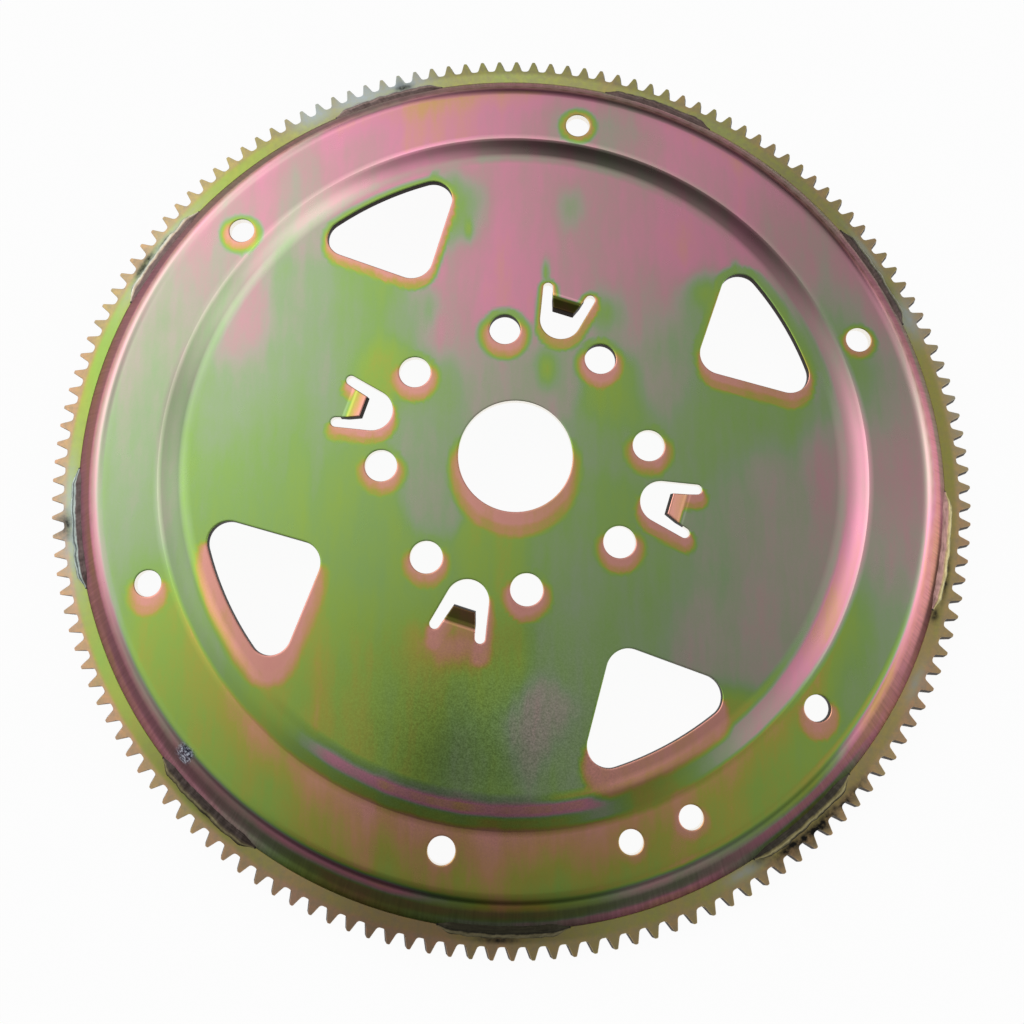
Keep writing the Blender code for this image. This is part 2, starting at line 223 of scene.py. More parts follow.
# Patches of film on the hub: x, y and reach in mm in the view-up frame, then thickness. Each is
# higher than wide by PATCH_HEIGHT
PATCH_HEIGHT = 1.25
FILM_PATCHES = (
    (-8, 125, 14, 0.95),
    (-50, 128, 16, 0.90),
    (-24, 110, 10, 0.40),
    (-12, 98, 13, 0.95),
    (-24, 74, 13, 0.95),
    (-10, 72, 12, 0.95),
    (-26, 54, 10, 0.90),
    (-12, 40, 9, 0.75),
    (12, 116, 14, 0.90),
    (30, 108, 16, 0.90),
    (48, 90, 15, 0.90),
    (66, 104, 15, 0.90),
    (80, 92, 10, 0.95),
    (56, 68, 12, 0.75),
    (70, 52, 11, 0.60),
    (104, 88, 14, 0.80),
    (128, 40, 11, 0.65),
    (110, 16, 12, 0.50),
    (84, 20, 12, 0.55),
    (126, -6, 12, 0.80),
    (104, -12, 13, 0.70),
    (112, -46, 14, 0.75),
    (86, -34, 13, 0.70),
    (74, 6, 11, 0.60),
    (62, 30, 8, 0.70),
    (42, 24, 9, 0.45),
    (16, 34, 8, 0.70),
    (36, 6, 9, 0.60),
    (30, -20, 10, 0.50),
    (56, -56, 13, 0.60),
    (74, -70, 10, 0.75),
    (26, -70, 12, 0.60),
    (12, -46, 10, 0.55),
    (8, -106, 9, 0.75),
    (22, -122, 9, 0.60),
    (-12, -84, 12, 0.45),
    (-18, -116, 11, 0.55),
    (-40, -104, 13, 0.40),
    (-66, -98, 13, 0.35),
    (-56, -74, 13, 0.35),
    (-6, -40, 8, 0.40),
    (-48, -52, 11, 0.45),
    (-62, -28, 12, 0.45),
    (-36, -14, 8, 0.65),
    (-34, 6, 8, 0.65),
    (-86, -8, 13, 0.50),
    (-112, -12, 13, 0.55),
    (-74, -20, 10, 0.45),
    (-90, 12, 12, 0.55),
    (-118, 18, 11, 0.60),
    (-98, 36, 11, 0.60),
    (-112, 58, 11, 0.75),
    (-92, 66, 10, 0.65),
    (-72, 62, 10, 0.55),
    (-58, 74, 10, 0.50),
    (-46, 58, 8, 0.60),
    (-34, 34, 9, 0.60),
    (-52, 40, 7, 0.40),
    (-92, 108, 11, 0.75),
    (-74, 124, 10, 0.80),
    (70, -112, 10, 0.40),
    (40, -128, 9, 0.20),
    (-96, -96, 10, 0.40),
    (-124, -44, 10, 0.50),
)

# Across the pad: angle in the view-up frame, then film at its inner side, its middle and its
# outer side, and the level of painted light and shade
PAD_LOOKS = (
    (0, 0.80, 0.80, 0.90, 1.1),
    (16, 0.50, 0.65, 0.85, 1.0),
    (35, 0.80, 0.80, 0.85, 1.0),
    (60, 0.90, 0.90, 1.00, 1.1),
    (80, 0.80, 0.80, 0.90, 1.0),
    (100, 1.00, 1.00, 1.10, 1.0),
    (130, 0.80, 0.80, 0.85, 1.0),
    (190, 0.65, 0.60, 0.55, 1.0),
    (206, 0.40, 0.40, 0.40, 1.0),
    (232, 0.20, 0.35, 0.40, 1.0),
    (256, 0.15, 0.25, 0.30, 0.9),
    (280, 0.15, 0.25, 0.35, 1.0),
    (302, 0.25, 0.35, 0.35, 1.2),
    (330, 0.35, 0.55, 0.65, 1.2),
    (345, 0.70, 0.80, 0.85, 1.2),
)

# Film round the cut edges: mm from the edge, and the most film there
HALO_PROFILE = (
    (0.0, 0.14),
    (0.6, 0.18),
    (1.2, 0.22),
    (2.0, 0.26),
    (3.0, 0.31),
    (3.6, 0.38),
    (4.4, 0.54),
    (5.4, 0.72),
    (7.0, 0.95),
    (8.5, 1.15),
)
HALO_LIFT = 0.07
HALO_LIMIT = 24.0 * MM

# Where each cut's thin film has drifted: mm down, width against the profile, thinnest film
CRANK_DRIFTS = ((2.4, 1.0, 0.14), (4.0, 0.7, 0.27), (0.0, 0.6, 0.50))
BORE_DRIFTS = ((4.8, 1.0, 0.14), (7.5, 0.9, 0.25))
PAD_DRIFTS = (
    ((1.2, 0.6, 0.20),),
    ((0.4, 0.7, 0.27),),
    ((1.5, 0.85, 0.17),),
    ((3.0, 0.9, 0.15), (5.0, 0.9, 0.22)),
    ((1.0, 1.0, 0.225),),
    ((2.6, 0.9, 0.225), (4.2, 0.8, 0.27)),
    ((1.0, 1.0, 0.21),),
    ((1.0, 1.0, 0.21),),
)
SLOT_DRIFTS = (
    ((1.0, 0.45, 0.24), (3.2, 0.5, 0.27)),
    ((2.6, 0.5, 0.14), (4.0, 0.6, 0.27)),
    ((3.0, 0.7, 0.14), (7.0, 0.8, 0.18)),
    ((2.6, 0.5, 0.14), (4.0, 0.6, 0.27)),
)
WINDOW_DRIFTS = (
    ((3.0, 0.6, 0.14), (5.6, 0.5, 0.25), (0.0, 0.75, 0.46)),
    ((2.0, 0.5, 0.14), (3.6, 0.5, 0.27), (0.0, 0.5, 0.44)),
    ((5.4, 1.2, 0.14), (8.5, 1.2, 0.19)),
    ((5.8, 0.6, 0.15), (8.0, 0.8, 0.20)),
)

# Painted shade on the hub: x, y and reach in mm, depth
HUB_PAINTED_SHADE = (
    (-31, -122, 20, 0.38),
    (-4, -122, 15, 0.16),
    (-27, -101, 14, 0.10),
    (-20, -74, 12, 0.18),
    (2, -74, 10, 0.10),
    (-44, -84, 18, 0.06),
)

# Spatter burnt on the rim: x, y and reach in mm, depth
SPATTER = (
    (-126.0, -116.0, 2.0, 1.0),
    (-127.5, -117.5, 2.2, 1.0),
    (-129.0, -118.8, 1.9, 1.0),
)

# Drips of film by some of the cuts: x, y, half width and half height in mm, thickness
DRIPS = (
    (-35, 125, 1.8, 4, 0.50),
    (80, 71, 8.0, 9, 0.44),
    (87, 54, 4.5, 13, 0.48),
    (38, 62, 7.0, 8, 0.56),
    (-37, 64, 6.0, 10, 0.66),
    (24, 110, 5.0, 10, 0.69),
    (13, 80, 1.6, 6, 0.44),
    (94, 82, 1.8, 4, 0.36),
    (-20, 100, 1.8, 5, 0.44),
    (13, 37, 4.0, 8, 0.31),
    (-23, -76, 12.0, 9, 0.15),
)

# Each tab from the top one round: film at its bend and at its end, and the level of painted light and shade
# for the way it faces
TAB_LOOKS = (
    (0.36, 0.30, 0.13),
    (0.37, 0.14, 0.76),
    (0.27, 0.20, 0.30),
    (0.22, 0.13, 1.28),
)
TAB_FADE = (TAB_BEND_RADIUS + 0.4 * MM, 0.8 * MM)

# Painted highlights along each tab's bend: where they lie, their half width and their light
TAB_HIGHLIGHT_LINES = (TAB_BEND_RADIUS - 0.9 * MM, TAB_BEND_RADIUS + 0.9 * MM)
TAB_HIGHLIGHT_WIDTH = 0.35 * MM
TAB_HIGHLIGHT_GAIN = 0.5

# Step between hub and pad: angle, then film and level of painted light on its crest, its slope and
# its foot line: painted shade and painted highlights of what they reflect
STEP_LOOKS = (
    (0, 0.80, 1.4, 0.85, 1.3, 0.85, 1.8),
    (20, 0.60, 1.0, 0.80, 1.0, 0.70, 1.1),
    (45, 0.85, 1.0, 0.80, 0.6, 0.80, 1.2),
    (80, 0.80, 0.9, 0.80, 0.3, 0.85, 1.5),
    (110, 0.80, 1.0, 0.90, 0.9, 0.90, 1.6),
    (125, 0.75, 1.3, 0.80, 1.4, 0.80, 1.4),
    (150, 0.65, 1.2, 0.70, 0.8, 0.75, 1.1),
    (170, 0.65, 1.0, 0.70, 0.5, 0.75, 0.8),
    (190, 0.60, 1.2, 0.70, 0.7, 0.70, 1.2),
    (210, 0.30, 1.4, 0.60, 0.9, 0.35, 1.2),
    (230, 0.40, 0.9, 0.40, 1.0, 0.25, 1.0),
    (240, 0.50, 0.8, 0.90, 1.0, 0.25, 0.9),
    (256, 0.65, 0.7, 1.05, 1.0, 0.20, 0.7),
    (270, 0.70, 0.7, 1.05, 0.8, 0.20, 0.6),
    (280, 0.30, 1.1, 1.00, 0.9, 0.25, 0.7),
    (290, 0.20, 1.4, 0.30, 0.8, 0.30, 0.9),
    (310, 0.35, 1.2, 0.80, 1.4, 0.30, 1.1),
    (330, 0.70, 1.3, 1.05, 1.3, 0.80, 1.6),
)

# Lower half of the step: angle, then how far its film turns to olive there; where that begins,
# and the film and the share of painted shade that it leads to
LOWER_STEP = (
    (226, 0.0),
    (238, 0.9),
    (276, 1.0),
    (288, 0.0),
)
LOWER_STEP_START = (139.0, 2.4)
LOWER_STEP_LOOK = (0.36, 0.92)

# Rim: angle, then film and level of painted light at its edge, its crest, its wall and its foot:
# painted highlights and painted shade of what the curved rim reflects
RIM_LOOKS = (
    (0, 0.85, 1.1, 0.85, 2.0, 1.00, 1.5, 0.80, 1.1),
    (20, 0.85, 1.2, 0.85, 1.2, 1.00, 0.7, 0.80, 0.9),
    (35, 0.85, 1.0, 0.85, 0.2, 0.85, 0.6, 0.80, 1.2),
    (70, 0.85, 0.6, 0.85, 0.2, 0.85, 0.6, 0.80, 1.2),
    (90, 1.00, 0.5, 0.85, 0.3, 0.85, 0.6, 0.80, 0.9),
    (110, 1.00, 1.2, 0.85, 0.8, 0.85, 0.5, 0.80, 0.8),
    (130, 0.80, 1.2, 0.80, 1.8, 0.80, 0.5, 0.80, 0.6),
    (170, 0.70, 0.5, 0.80, 1.8, 1.00, 0.5, 1.00, 0.5),
    (190, 0.65, 0.9, 0.80, 1.5, 1.00, 0.5, 0.90, 0.5),
    (210, 0.45, 1.0, 0.75, 0.7, 0.90, 0.3, 1.00, 0.6),
    (230, 0.40, 1.1, 0.80, 0.3, 0.80, 0.2, 0.80, 0.7),
    (250, 0.30, 0.7, 1.00, 0.2, 0.30, 0.1, 0.30, 0.2),
    (270, 0.30, 0.8, 0.25, 0.2, 0.30, 0.1, 0.70, 0.2),
    (290, 0.30, 1.1, 0.80, 0.4, 0.70, 0.2, 1.00, 0.5),
    (310, 0.35, 1.1, 0.40, 0.5, 1.00, 0.4, 0.35, 0.2),
    (325, 0.35, 1.2, 1.10, 1.1, 1.05, 0.7, 1.05, 0.8),
    (345, 0.80, 1.1, 1.05, 1.5, 1.05, 1.5, 1.05, 0.2),
)

# Where each ring of looks begins and how far it takes to come in, in mm
STEP_STARTS = ((131.2, 2.4), (134.5, 1.8), (144.9, 0.7))
PAD_START = (146.0, 1.0)
RIM_STARTS = ((167.2, 1.4), (169.2, 2.0), (173.8, 2.3), (178.7, 2.8))

# Streaks in the film: stretch upwards, waves to the metre, height
FILM_STREAKS = (
    (0.20, 34.0, 0.36),
    (0.10, 90.0, 0.22),
    (0.30, 300.0, 0.10),
    (1.00, 1500.0, 0.06),
)

# The drawn rim: contrast of its fine lines, added roughness, lost metallic
DRAWN_CONTRAST = 0.9
DRAWN_ROUGHNESS = 0.16
DRAWN_DULLNESS = 0.20

# The grain at the bottom of the hub: contrast, then x, y, half width and half height in mm
GRAIN_CONTRAST = 2.0
GRAIN_PLACE = (-12, -112, 46, 32)

# Ring gear: angle in the view-up frame, then film and level of painted light and shade on its
# ring and on its teeth, and how tanned its ring is
GEAR_LOOKS = (
    (0, 0.32, 1.00, 0.28, 1.36, 0.5),
    (15, 0.33, 1.02, 0.29, 1.30, 0.5),
    (30, 0.32, 0.98, 0.27, 1.10, 0.8),
    (45, 0.34, 1.02, 0.28, 1.08, 0.9),
    (60, 0.34, 1.22, 0.29, 1.16, 0.9),
    (75, 0.33, 1.38, 0.30, 1.06, 0.9),
    (90, 0.33, 1.48, 0.30, 0.98, 0.9),
    (120, 0.33, 1.18, 0.30, 1.03, 0.8),
    (135, 0.37, 1.10, 0.28, 1.22, 0.1),
    (150, 0.36, 1.16, 0.25, 1.24, 0.2),
    (165, 0.40, 1.10, 0.24, 1.18, 0.0),
    (180, 0.37, 1.10, 0.22, 1.22, 0.2),
    (195, 0.36, 1.20, 0.20, 1.38, 0.3),
    (210, 0.37, 1.20, 0.20, 1.38, 0.1),
    (225, 0.30, 0.84, 0.21, 1.30, 0.5),
    (240, 0.29, 0.98, 0.21, 1.05, 0.8),
    (255, 0.27, 0.68, 0.21, 0.68, 0.8),
    (270, 0.27, 0.64, 0.25, 1.00, 0.8),
    (285, 0.29, 1.05, 0.25, 1.14, 0.7),
    (300, 0.29, 1.20, 0.25, 1.22, 0.7),
    (315, 0.28, 1.10, 0.25, 1.50, 0.8),
    (330, 0.29, 1.24, 0.24, 1.30, 0.7),
    (345, 0.28, 1.10, 0.25, 1.24, 0.7),
)
TOOTH_FADE = 2.6 * MM

# Bare silvery metal and soot by the welds: angle in the view-up frame, spread in degrees,
# middle radius and spread in mm, strength
SILVER_MARKS = (
    (106, 4.0, 191, 6.0, 1.00),
    (112, 5.0, 191, 6.0, 1.00),
    (119, 3.5, 192, 6.0, 0.90),
    (188, 8.0, 188, 3.0, 0.80),
    (149, 8.0, 187, 2.6, 0.70),
    (21, 3.2, 188, 4.0, 0.75),
    (32, 4.0, 188, 1.4, 0.50),
    (331, 2.5, 188, 2.0, 0.50),
    (299, 2.5, 187, 2.0, 0.60),
    # The last mark greys the teeth's tips on the right, away from any weld
    (8, 9.0, 194, 2.5, 0.45),
)
SOOT_MARKS = (
    (151, 2.4, 188.4, 1.5, 1.00),
    (147, 1.2, 187.4, 0.9, 0.80),
    (106, 1.2, 188.6, 1.5, 1.00),
    (305, 3.0, 189, 2.0, 0.90),
    (309, 5.0, 190, 2.6, 1.00),
    (314, 4.0, 191, 2.2, 0.90),
    (302, 1.6, 186, 2.0, 0.80),
    (188, 1.6, 189.5, 2.0, 0.90),
    (193, 2.0, 186.5, 0.8, 0.70),
    (268, 2.4, 188, 1.4, 0.80),
    (345, 3.0, 187.6, 1.0, 0.80),
    (340, 1.0, 186.2, 1.6, 0.80),
    (229, 4.0, 187.0, 0.8, 0.50),
    (29, 6.0, 187.0, 0.6, 0.40),
)

# Each bead's colours from the gear's side to the rim's: outline, near side, middle, far side, rim;
# partly the bead's own colours and soot, partly painted highlights and painted shade across its round
BEAD_LOOKS = (
    ((0.04, 0.035, 0.025), (0.52, 0.52, 0.44), (0.22, 0.21, 0.12), (0.05, 0.04, 0.03), (0.12, 0.08, 0.07)),
    ((0.16, 0.13, 0.08), (0.36, 0.30, 0.22), (0.08, 0.05, 0.04), (0.25, 0.16, 0.14), (0.17, 0.11, 0.10)),
    ((0.20, 0.20, 0.20), (0.55, 0.53, 0.50), (0.22, 0.15, 0.13), (0.38, 0.25, 0.22), (0.15, 0.095, 0.085)),
    ((0.04, 0.042, 0.04), (0.50, 0.54, 0.48), (0.78, 0.74, 0.60), (0.55, 0.42, 0.30), (0.15, 0.095, 0.085)),
    ((0.06, 0.075, 0.075), (0.60, 0.70, 0.66), (0.05, 0.07, 0.07), (0.50, 0.58, 0.54), (0.10, 0.065, 0.06)),
    ((0.02, 0.018, 0.012), (0.05, 0.04, 0.02), (0.28, 0.24, 0.12), (0.13, 0.10, 0.06), (0.07, 0.05, 0.042)),
    ((0.014, 0.013, 0.009), (0.17, 0.15, 0.08), (0.22, 0.19, 0.10), (0.02, 0.018, 0.01), (0.045, 0.04, 0.022)),
    ((0.012, 0.012, 0.01), (0.07, 0.065, 0.04), (0.48, 0.42, 0.20), (0.26, 0.22, 0.09), (0.06, 0.05, 0.035)),
    ((0.06, 0.05, 0.03), (0.62, 0.56, 0.30), (0.80, 0.70, 0.34), (0.58, 0.42, 0.20), (0.54, 0.30, 0.27)),
)
BEAD_BANDS = (0.02, 0.12, 0.27, 0.41, 0.55)
BEAD_WANDER = 0.30
BEAD_STREAKS = 1.6
BEAD_LEAST = 0.2
BEAD_DARK = (0.016, 0.014, 0.011, 1.0)
BEAD_DARK_EDGE = 3.0

# Further colours of the metal, and the sheet's reflection at grazing angles
ASH_COLOURS = (
    (0.40, (0.02, 0.022, 0.03)),
    (0.50, (0.10, 0.11, 0.15)),
    (0.60, (0.50, 0.54, 0.62)),
)
# Pale colours of the round holes' and slots' walls: a painted reflection
PAINTED_BRIGHT_WALL_COLOURS = ((0.88, 0.82, 0.72, 1.0), (0.97, 0.95, 0.90, 1.0))
GEAR_TAN = (0.27, 0.235, 0.165, 1.0)
GEAR_TAN_SHARE = 0.55
GEAR_SILVER = (0.46, 0.52, 0.53, 1.0)
GEAR_SOOT = (0.015, 0.014, 0.012, 1.0)
GEAR_STREAKS = 0.45
GRAZING_TINT = (0.64, 0.50, 0.47, 1.0)

# Painted shade on the windows' and tabs' walls, and the teeth's dark flanks: name, colour,
# metallic and reflection
PAINTED_DARK_WALL_LOOK = ("painted_dark_wall", (0.016, 0.011, 0.008), 0.6, 0.3)
CUT_FLANK = ("cut_flank", (0.030, 0.019, 0.011), 0.2, 0.25)
STEEL_MOTTLE_LIFT = 2.2

# Roughness of each metal, and how much its own noise adds to it
SHEET_ROUGHNESS = (0.24, 0.10)
GEAR_ROUGHNESS = (0.32, 0.16)
BRIGHT_ROUGHNESS = 0.16
STEEL_ROUGHNESS = 0.5
BEAD_ROUGHNESS = 0.40

# Noise in the materials: waves to the metre, detail and roughness
STREAK_NOISE = (3.0, 0.55)
LINE_NOISE = (420.0, 3.0, 0.6)
SPECK_NOISE = (1500.0, 3.0, 0.7)
LUMP_NOISE = (900.0, 3.0, 0.7)
CLOUD_NOISE = (60.0, 4.0, 0.5)
WALL_NOISE = (600.0, 3.0, 0.5)
GEAR_NOISE = (420.0, 4.0, 0.6)
STEEL_NOISE = (700.0, 3.0, 0.5)
BEAD_STREAK_NOISE = (1500.0, 3.0, 0.6)
BEAD_PATCH_NOISE = (210.0, 4.0, 0.6)
BUMP_NOISE = (3.0, 0.5)

# Stretch of noise: along the part's axes, or round the axis and outwards
WALL_STRETCH = (1.0, 1.0, 0.3)
BUMP_STRETCH = (1.0, 0.35, 1.0)
DRAWN_STRETCH = (2.0, 0.12)
BEAD_WAVE_STRETCH = (0.35, 1.0)
BEAD_STREAK_STRETCH = (0.12, 1.0)

# Fine unevenness of each surface: strength, waves to the metre, depth
SHEET_BUMP = (0.15, 1400.0, 0.02 * MM)
BRIGHT_BUMP = (0.1, 1200.0, 0.02 * MM)
GEAR_BUMP = (0.3, 900.0, 0.04 * MM)
STEEL_BUMP = (0.4, 1200.0, 0.04 * MM)
BEAD_BUMP = (0.3, 1100.0, 0.04 * MM)

# Light: azimuth and elevation in the view-up frame in degrees, sharpness, strength
SKY_BASE = 0.49
SKY_LOBES = (
    (151, 44, 4.8, 1.53),
    (8, 17, 12.0, 1.10),
    (142, 14, 7.0, 0.50),
)
SKY_SHADES = (
    (55, 8, 9.0, 0.75),
    (88, 8, 9.0, 0.75),
    (40, 60, 12.0, 0.18),
    (255, 25, 6.0, 0.75),
    (252, 71, 6.0, 0.62),
)

# Floor
FLOOR_SIZE = 30.0
FLOOR_GLOW = 0.95
FLOOR_PAINT = (0.85, 0.85, 0.85, 1.0)
WHITE = (1.0, 1.0, 1.0, 1.0)


def polar(radius, angle):
    """Point of the plan at a radius and an angle."""
    return Vector((radius * math.cos(angle), radius * math.sin(angle)))


def view_up(places):
    """Plan coordinates of points in the view-up frame."""
    across = places[:, 0] * math.cos(VIEW_TURN) - places[:, 1] * math.sin(VIEW_TURN)
    up = places[:, 0] * math.sin(VIEW_TURN) + places[:, 1] * math.cos(VIEW_TURN)
    return np.stack([across, up], 1)


def arc(centre, radius, start, end, step=ARC_STEP):
    """Points along an arc, both ends included."""
    count = max(2, math.ceil(abs(end - start) / step))
    return [centre + polar(radius, start + (end - start) * i / count) for i in range(count + 1)]


def mirrored(half):
    """A closed outline, counterclockwise, from its half on the +Y side."""
    below = [Vector((p.x, -p.y)) for p in half if abs(p.y) > SEAT_GAP / 100]
    return np.array([p[:] for p in below + half[::-1]])


def turned(outline, angle):
    """An outline turned about the axis."""
    cosine, sine = math.cos(angle), math.sin(angle)
    return outline @ np.array([[cosine, sine], [-sine, cosine]])


def divided(start, end, spacing):
    """Points from start towards end, without the end, no further apart than the spacing."""
    count = max(1, math.ceil((end - start).length / spacing))
    return [start.lerp(end, i / count) for i in range(count)]


def rounded_line(corners, radii, steps):
    """A line through the corners, with each inner one replaced by an arc."""
    points = [corners[0]]
    for before, corner, after, radius in zip(corners, corners[1:], corners[2:], radii):
        into = (corner - before).normalized()
        away = (after - corner).normalized()
        turn = into.angle_signed(away)
        start = corner - into * radius * math.tan(abs(turn) / 2)
        centre = start - into.orthogonal() * math.copysign(radius, turn)
        for i in range(steps + 1):
            points.append(centre + Matrix.Rotation(-turn * i / steps, 2) @ (start - centre))
    points.append(corners[-1])
    return points


def spaced(points, spacing):
    """The same line with its long stretches divided."""
    line = []
    for start, end in zip(points, points[1:]):
        line += divided(start, end, spacing)
    return line + [points[-1]]


def circle(radius, centre_radius=0.0, angle=0.0, sides=HOLE_SIDES):
    """A round hole whose centre lies at a radius and an angle."""
    centre = polar(centre_radius, angle)
    return np.array([(centre + polar(radius, math.tau * i / sides))[:] for i in range(sides)])


def window_outline():
    """A triangle with rounded corners whose outer side is an arc about the axis."""
    apex = Vector((WINDOW_INNER_RADIUS + WINDOW_APEX_ROUND, 0.0))
    side_normal = math.pi / 2 + WINDOW_HALF_ANGLE
    along = polar(1.0, WINDOW_HALF_ANGLE)
    start = apex + polar(WINDOW_APEX_ROUND - WINDOW_CORNER_ROUND, side_normal)
    reach = WINDOW_OUTER_RADIUS - WINDOW_CORNER_ROUND
    run = -start.dot(along) + math.sqrt(start.dot(along) ** 2 - start.length_squared + reach ** 2)
    corner = start + along * run
    corner_angle = math.atan2(corner.y, corner.x)
    half = arc(apex, WINDOW_APEX_ROUND, math.pi, side_normal)
    half += arc(corner, WINDOW_CORNER_ROUND, side_normal, corner_angle)
    half += arc(Vector((0.0, 0.0)), WINDOW_OUTER_RADIUS, corner_angle, 0.0, ARC_STEP / 5)[1:]
    return mirrored(spaced(half, FRONT_SPACING))


def slot_leg_end():
    """Centre of the round end of a slot's leg, whose outer side leaves the nose tangentially."""
    nose = Vector((SLOT_NOSE_X, 0.0))
    start = nose + polar(SLOT_NOSE_ROUND - SLOT_LEG_ROUND, math.pi / 2 + SLOT_LEG_ANGLE)
    return start + polar((SLOT_END_RADIUS - start.x) / math.cos(SLOT_LEG_ANGLE), SLOT_LEG_ANGLE)


def slot_outline():
    """A horseshoe: round nose, two spreading legs with round ends, and the edge of the tab."""
    outer_normal = math.pi / 2 + SLOT_LEG_ANGLE
    leg_end = slot_leg_end()
    tab_corner = Vector((TAB_END_RADIUS, TAB_END_HALF_WIDTH))
    to_end = leg_end - tab_corner
    tab_side = math.atan2(to_end.y, to_end.x) - math.asin(SLOT_LEG_ROUND / to_end.length)
    half = arc(Vector((SLOT_NOSE_X, 0.0)), SLOT_NOSE_ROUND, math.pi, outer_normal)
    half += arc(leg_end, SLOT_LEG_ROUND, outer_normal, tab_side - math.pi / 2, 3 * ARC_STEP)
    half = spaced(half, BAND_SPACING)
    half += divided(half[-1], tab_corner, SIDE_SPACING)[1:-2]
    half += divided(tab_corner, Vector((TAB_END_RADIUS, 0.0)), 3 * SIDE_SPACING)
    half.append(Vector((TAB_END_RADIUS, 0.0)))
    return mirrored(half)


def grown(outline, distance):
    """An outline moved away from its hole, mitred at the corners."""
    ahead = np.roll(outline, -1, axis=0) - outline
    ahead /= np.linalg.norm(ahead, axis=1)[:, None]
    behind = np.roll(ahead, 1, axis=0)
    normals = np.stack([ahead[:, 1], -ahead[:, 0]], 1) + np.stack([behind[:, 1], -behind[:, 0]], 1)
    return outline + distance * normals * 2 / (normals ** 2).sum(1)[:, None]


def inside(places, outline):
    """Which points of the plan lie inside a closed outline."""
    result = np.zeros(len(places), bool)
    x, y = places[:, 0], places[:, 1]
    for start, end in zip(outline, np.roll(outline, -1, axis=0)):
        spans = (start[1] > y) != (end[1] > y)
        if start[1] != end[1]:
            cross = start[0] + (y - start[1]) * (end[0] - start[0]) / (end[1] - start[1])
            result ^= spans & (x < cross)
    return result


def distance_to(places, outline):
    """Distance from points of the plan to a closed outline."""
    nearest = np.full(len(places), np.inf)
    for start, end in zip(outline, np.roll(outline, -1, axis=0)):
        along = end - start
        share = np.clip((places - start) @ along / (along @ along), 0.0, 1.0)
        nearest = np.minimum(nearest, np.linalg.norm(places - start - share[:, None] * along, axis=1))
    return nearest


def shares(count, phase=0.0):
    """Angles that share out a turn evenly."""
    return [phase + math.tau * i / count for i in range(count)]


TAB_ANGLES = shares(TABS, TAB_PHASE)
ROUND_HOLES = [circle(BORE_RADIUS, sides=3 * HOLE_SIDES)]
ROUND_HOLES += [circle(CRANK_HOLE_RADIUS, CRANK_CIRCLE_RADIUS, angle) for angle in shares(CRANK_HOLES)]
WINDOW_HOLES = [turned(window_outline(), angle) for angle in shares(WINDOWS, WINDOW_PHASE)]
SLOT_HOLES = [turned(slot_outline(), angle) for angle in TAB_ANGLES]
HUB_HOLES = ROUND_HOLES + WINDOW_HOLES + SLOT_HOLES
PAD_HOLES = [circle(CONVERTER_HOLE_RADIUS, CONVERTER_CIRCLE_RADIUS, angle)
             for angle in shares(CONVERTER_HOLES, CONVERTER_PHASE)]
PAD_HOLES += [circle(LOCATING_HOLE_RADIUS, LOCATING_CIRCLE_RADIUS, angle) for angle in LOCATING_ANGLES]


def placed(name, data):
    """A new object in the scene."""
    made = bpy.data.objects.new(name, data)
    bpy.context.scene.collection.objects.link(made)
    return made


class Shell:
    """Points and faces of a piece while it is put together."""

    def __init__(self):
        self.places = []
        self.faces = []
        self.finishes = []

    def loop(self, outline, height):
        """Add a closed loop of points, all at one height, and return their numbers."""
        first = len(self.places)
        self.places += [(x, y, height) for x, y in outline]
        return list(range(first, len(self.places)))

    def strip(self, first, second, finish=0):
        """Quads between two loops, with one finish or a list of one for each quad."""
        for i in range(len(first)):
            k = (i + 1) % len(first)
            self.faces.append((first[i], first[k], second[k], second[i]))
            self.finishes.append(finish[i] if isinstance(finish, list) else finish)

    def fill(self, loops, lattice, height, edges, holes, facing_up):
        """Triangles between closed loops over a lattice of new points, clear of the holes."""
        numbers = [n for loop in loops for n in loop]
        first = len(self.places)
        self.places += [(x, y, height) for x, y in lattice]
        numbers += range(first, len(self.places))
        flat = [Vector(self.places[n][:2]) / MM for n in numbers]
        borders = []
        start = 0
        for loop in loops:
            borders += [(start + i, start + (i + 1) % len(loop)) for i in range(len(loop))]
            start += len(loop)
        made = geometry.delaunay_2d_cdt(flat, borders, [], 0, 1e-6)
        source = [numbers[origins[0]] for origins in made[3]]
        corners = np.array([[source[i] for i in triangle] for triangle in made[2]])
        plan = np.array([place[:2] for place in self.places])
        kept = in_flat(plan[corners].mean(1), edges, holes)
        for triangle in corners[kept]:
            a, b, c = (plan[i] for i in triangle)
            turn = (b[0] - a[0]) * (c[1] - a[1]) - (b[1] - a[1]) * (c[0] - a[0])
            self.faces.append(tuple(triangle if (turn > 0) == facing_up else triangle[::-1]))
            self.finishes.append(0)

    def piece(self, name, finishes, sharp_angle):
        """The finished mesh as an object with its materials."""
        mesh = bpy.data.meshes.new(name)
        mesh.from_pydata(self.places, [], self.faces)
        for finish in finishes:
            mesh.materials.append(finish)
        mesh.polygons.foreach_set("material_index", self.finishes)
        mesh.shade_smooth()
        mesh.set_sharp_from_angle(angle=sharp_angle)
        return placed(name, mesh)


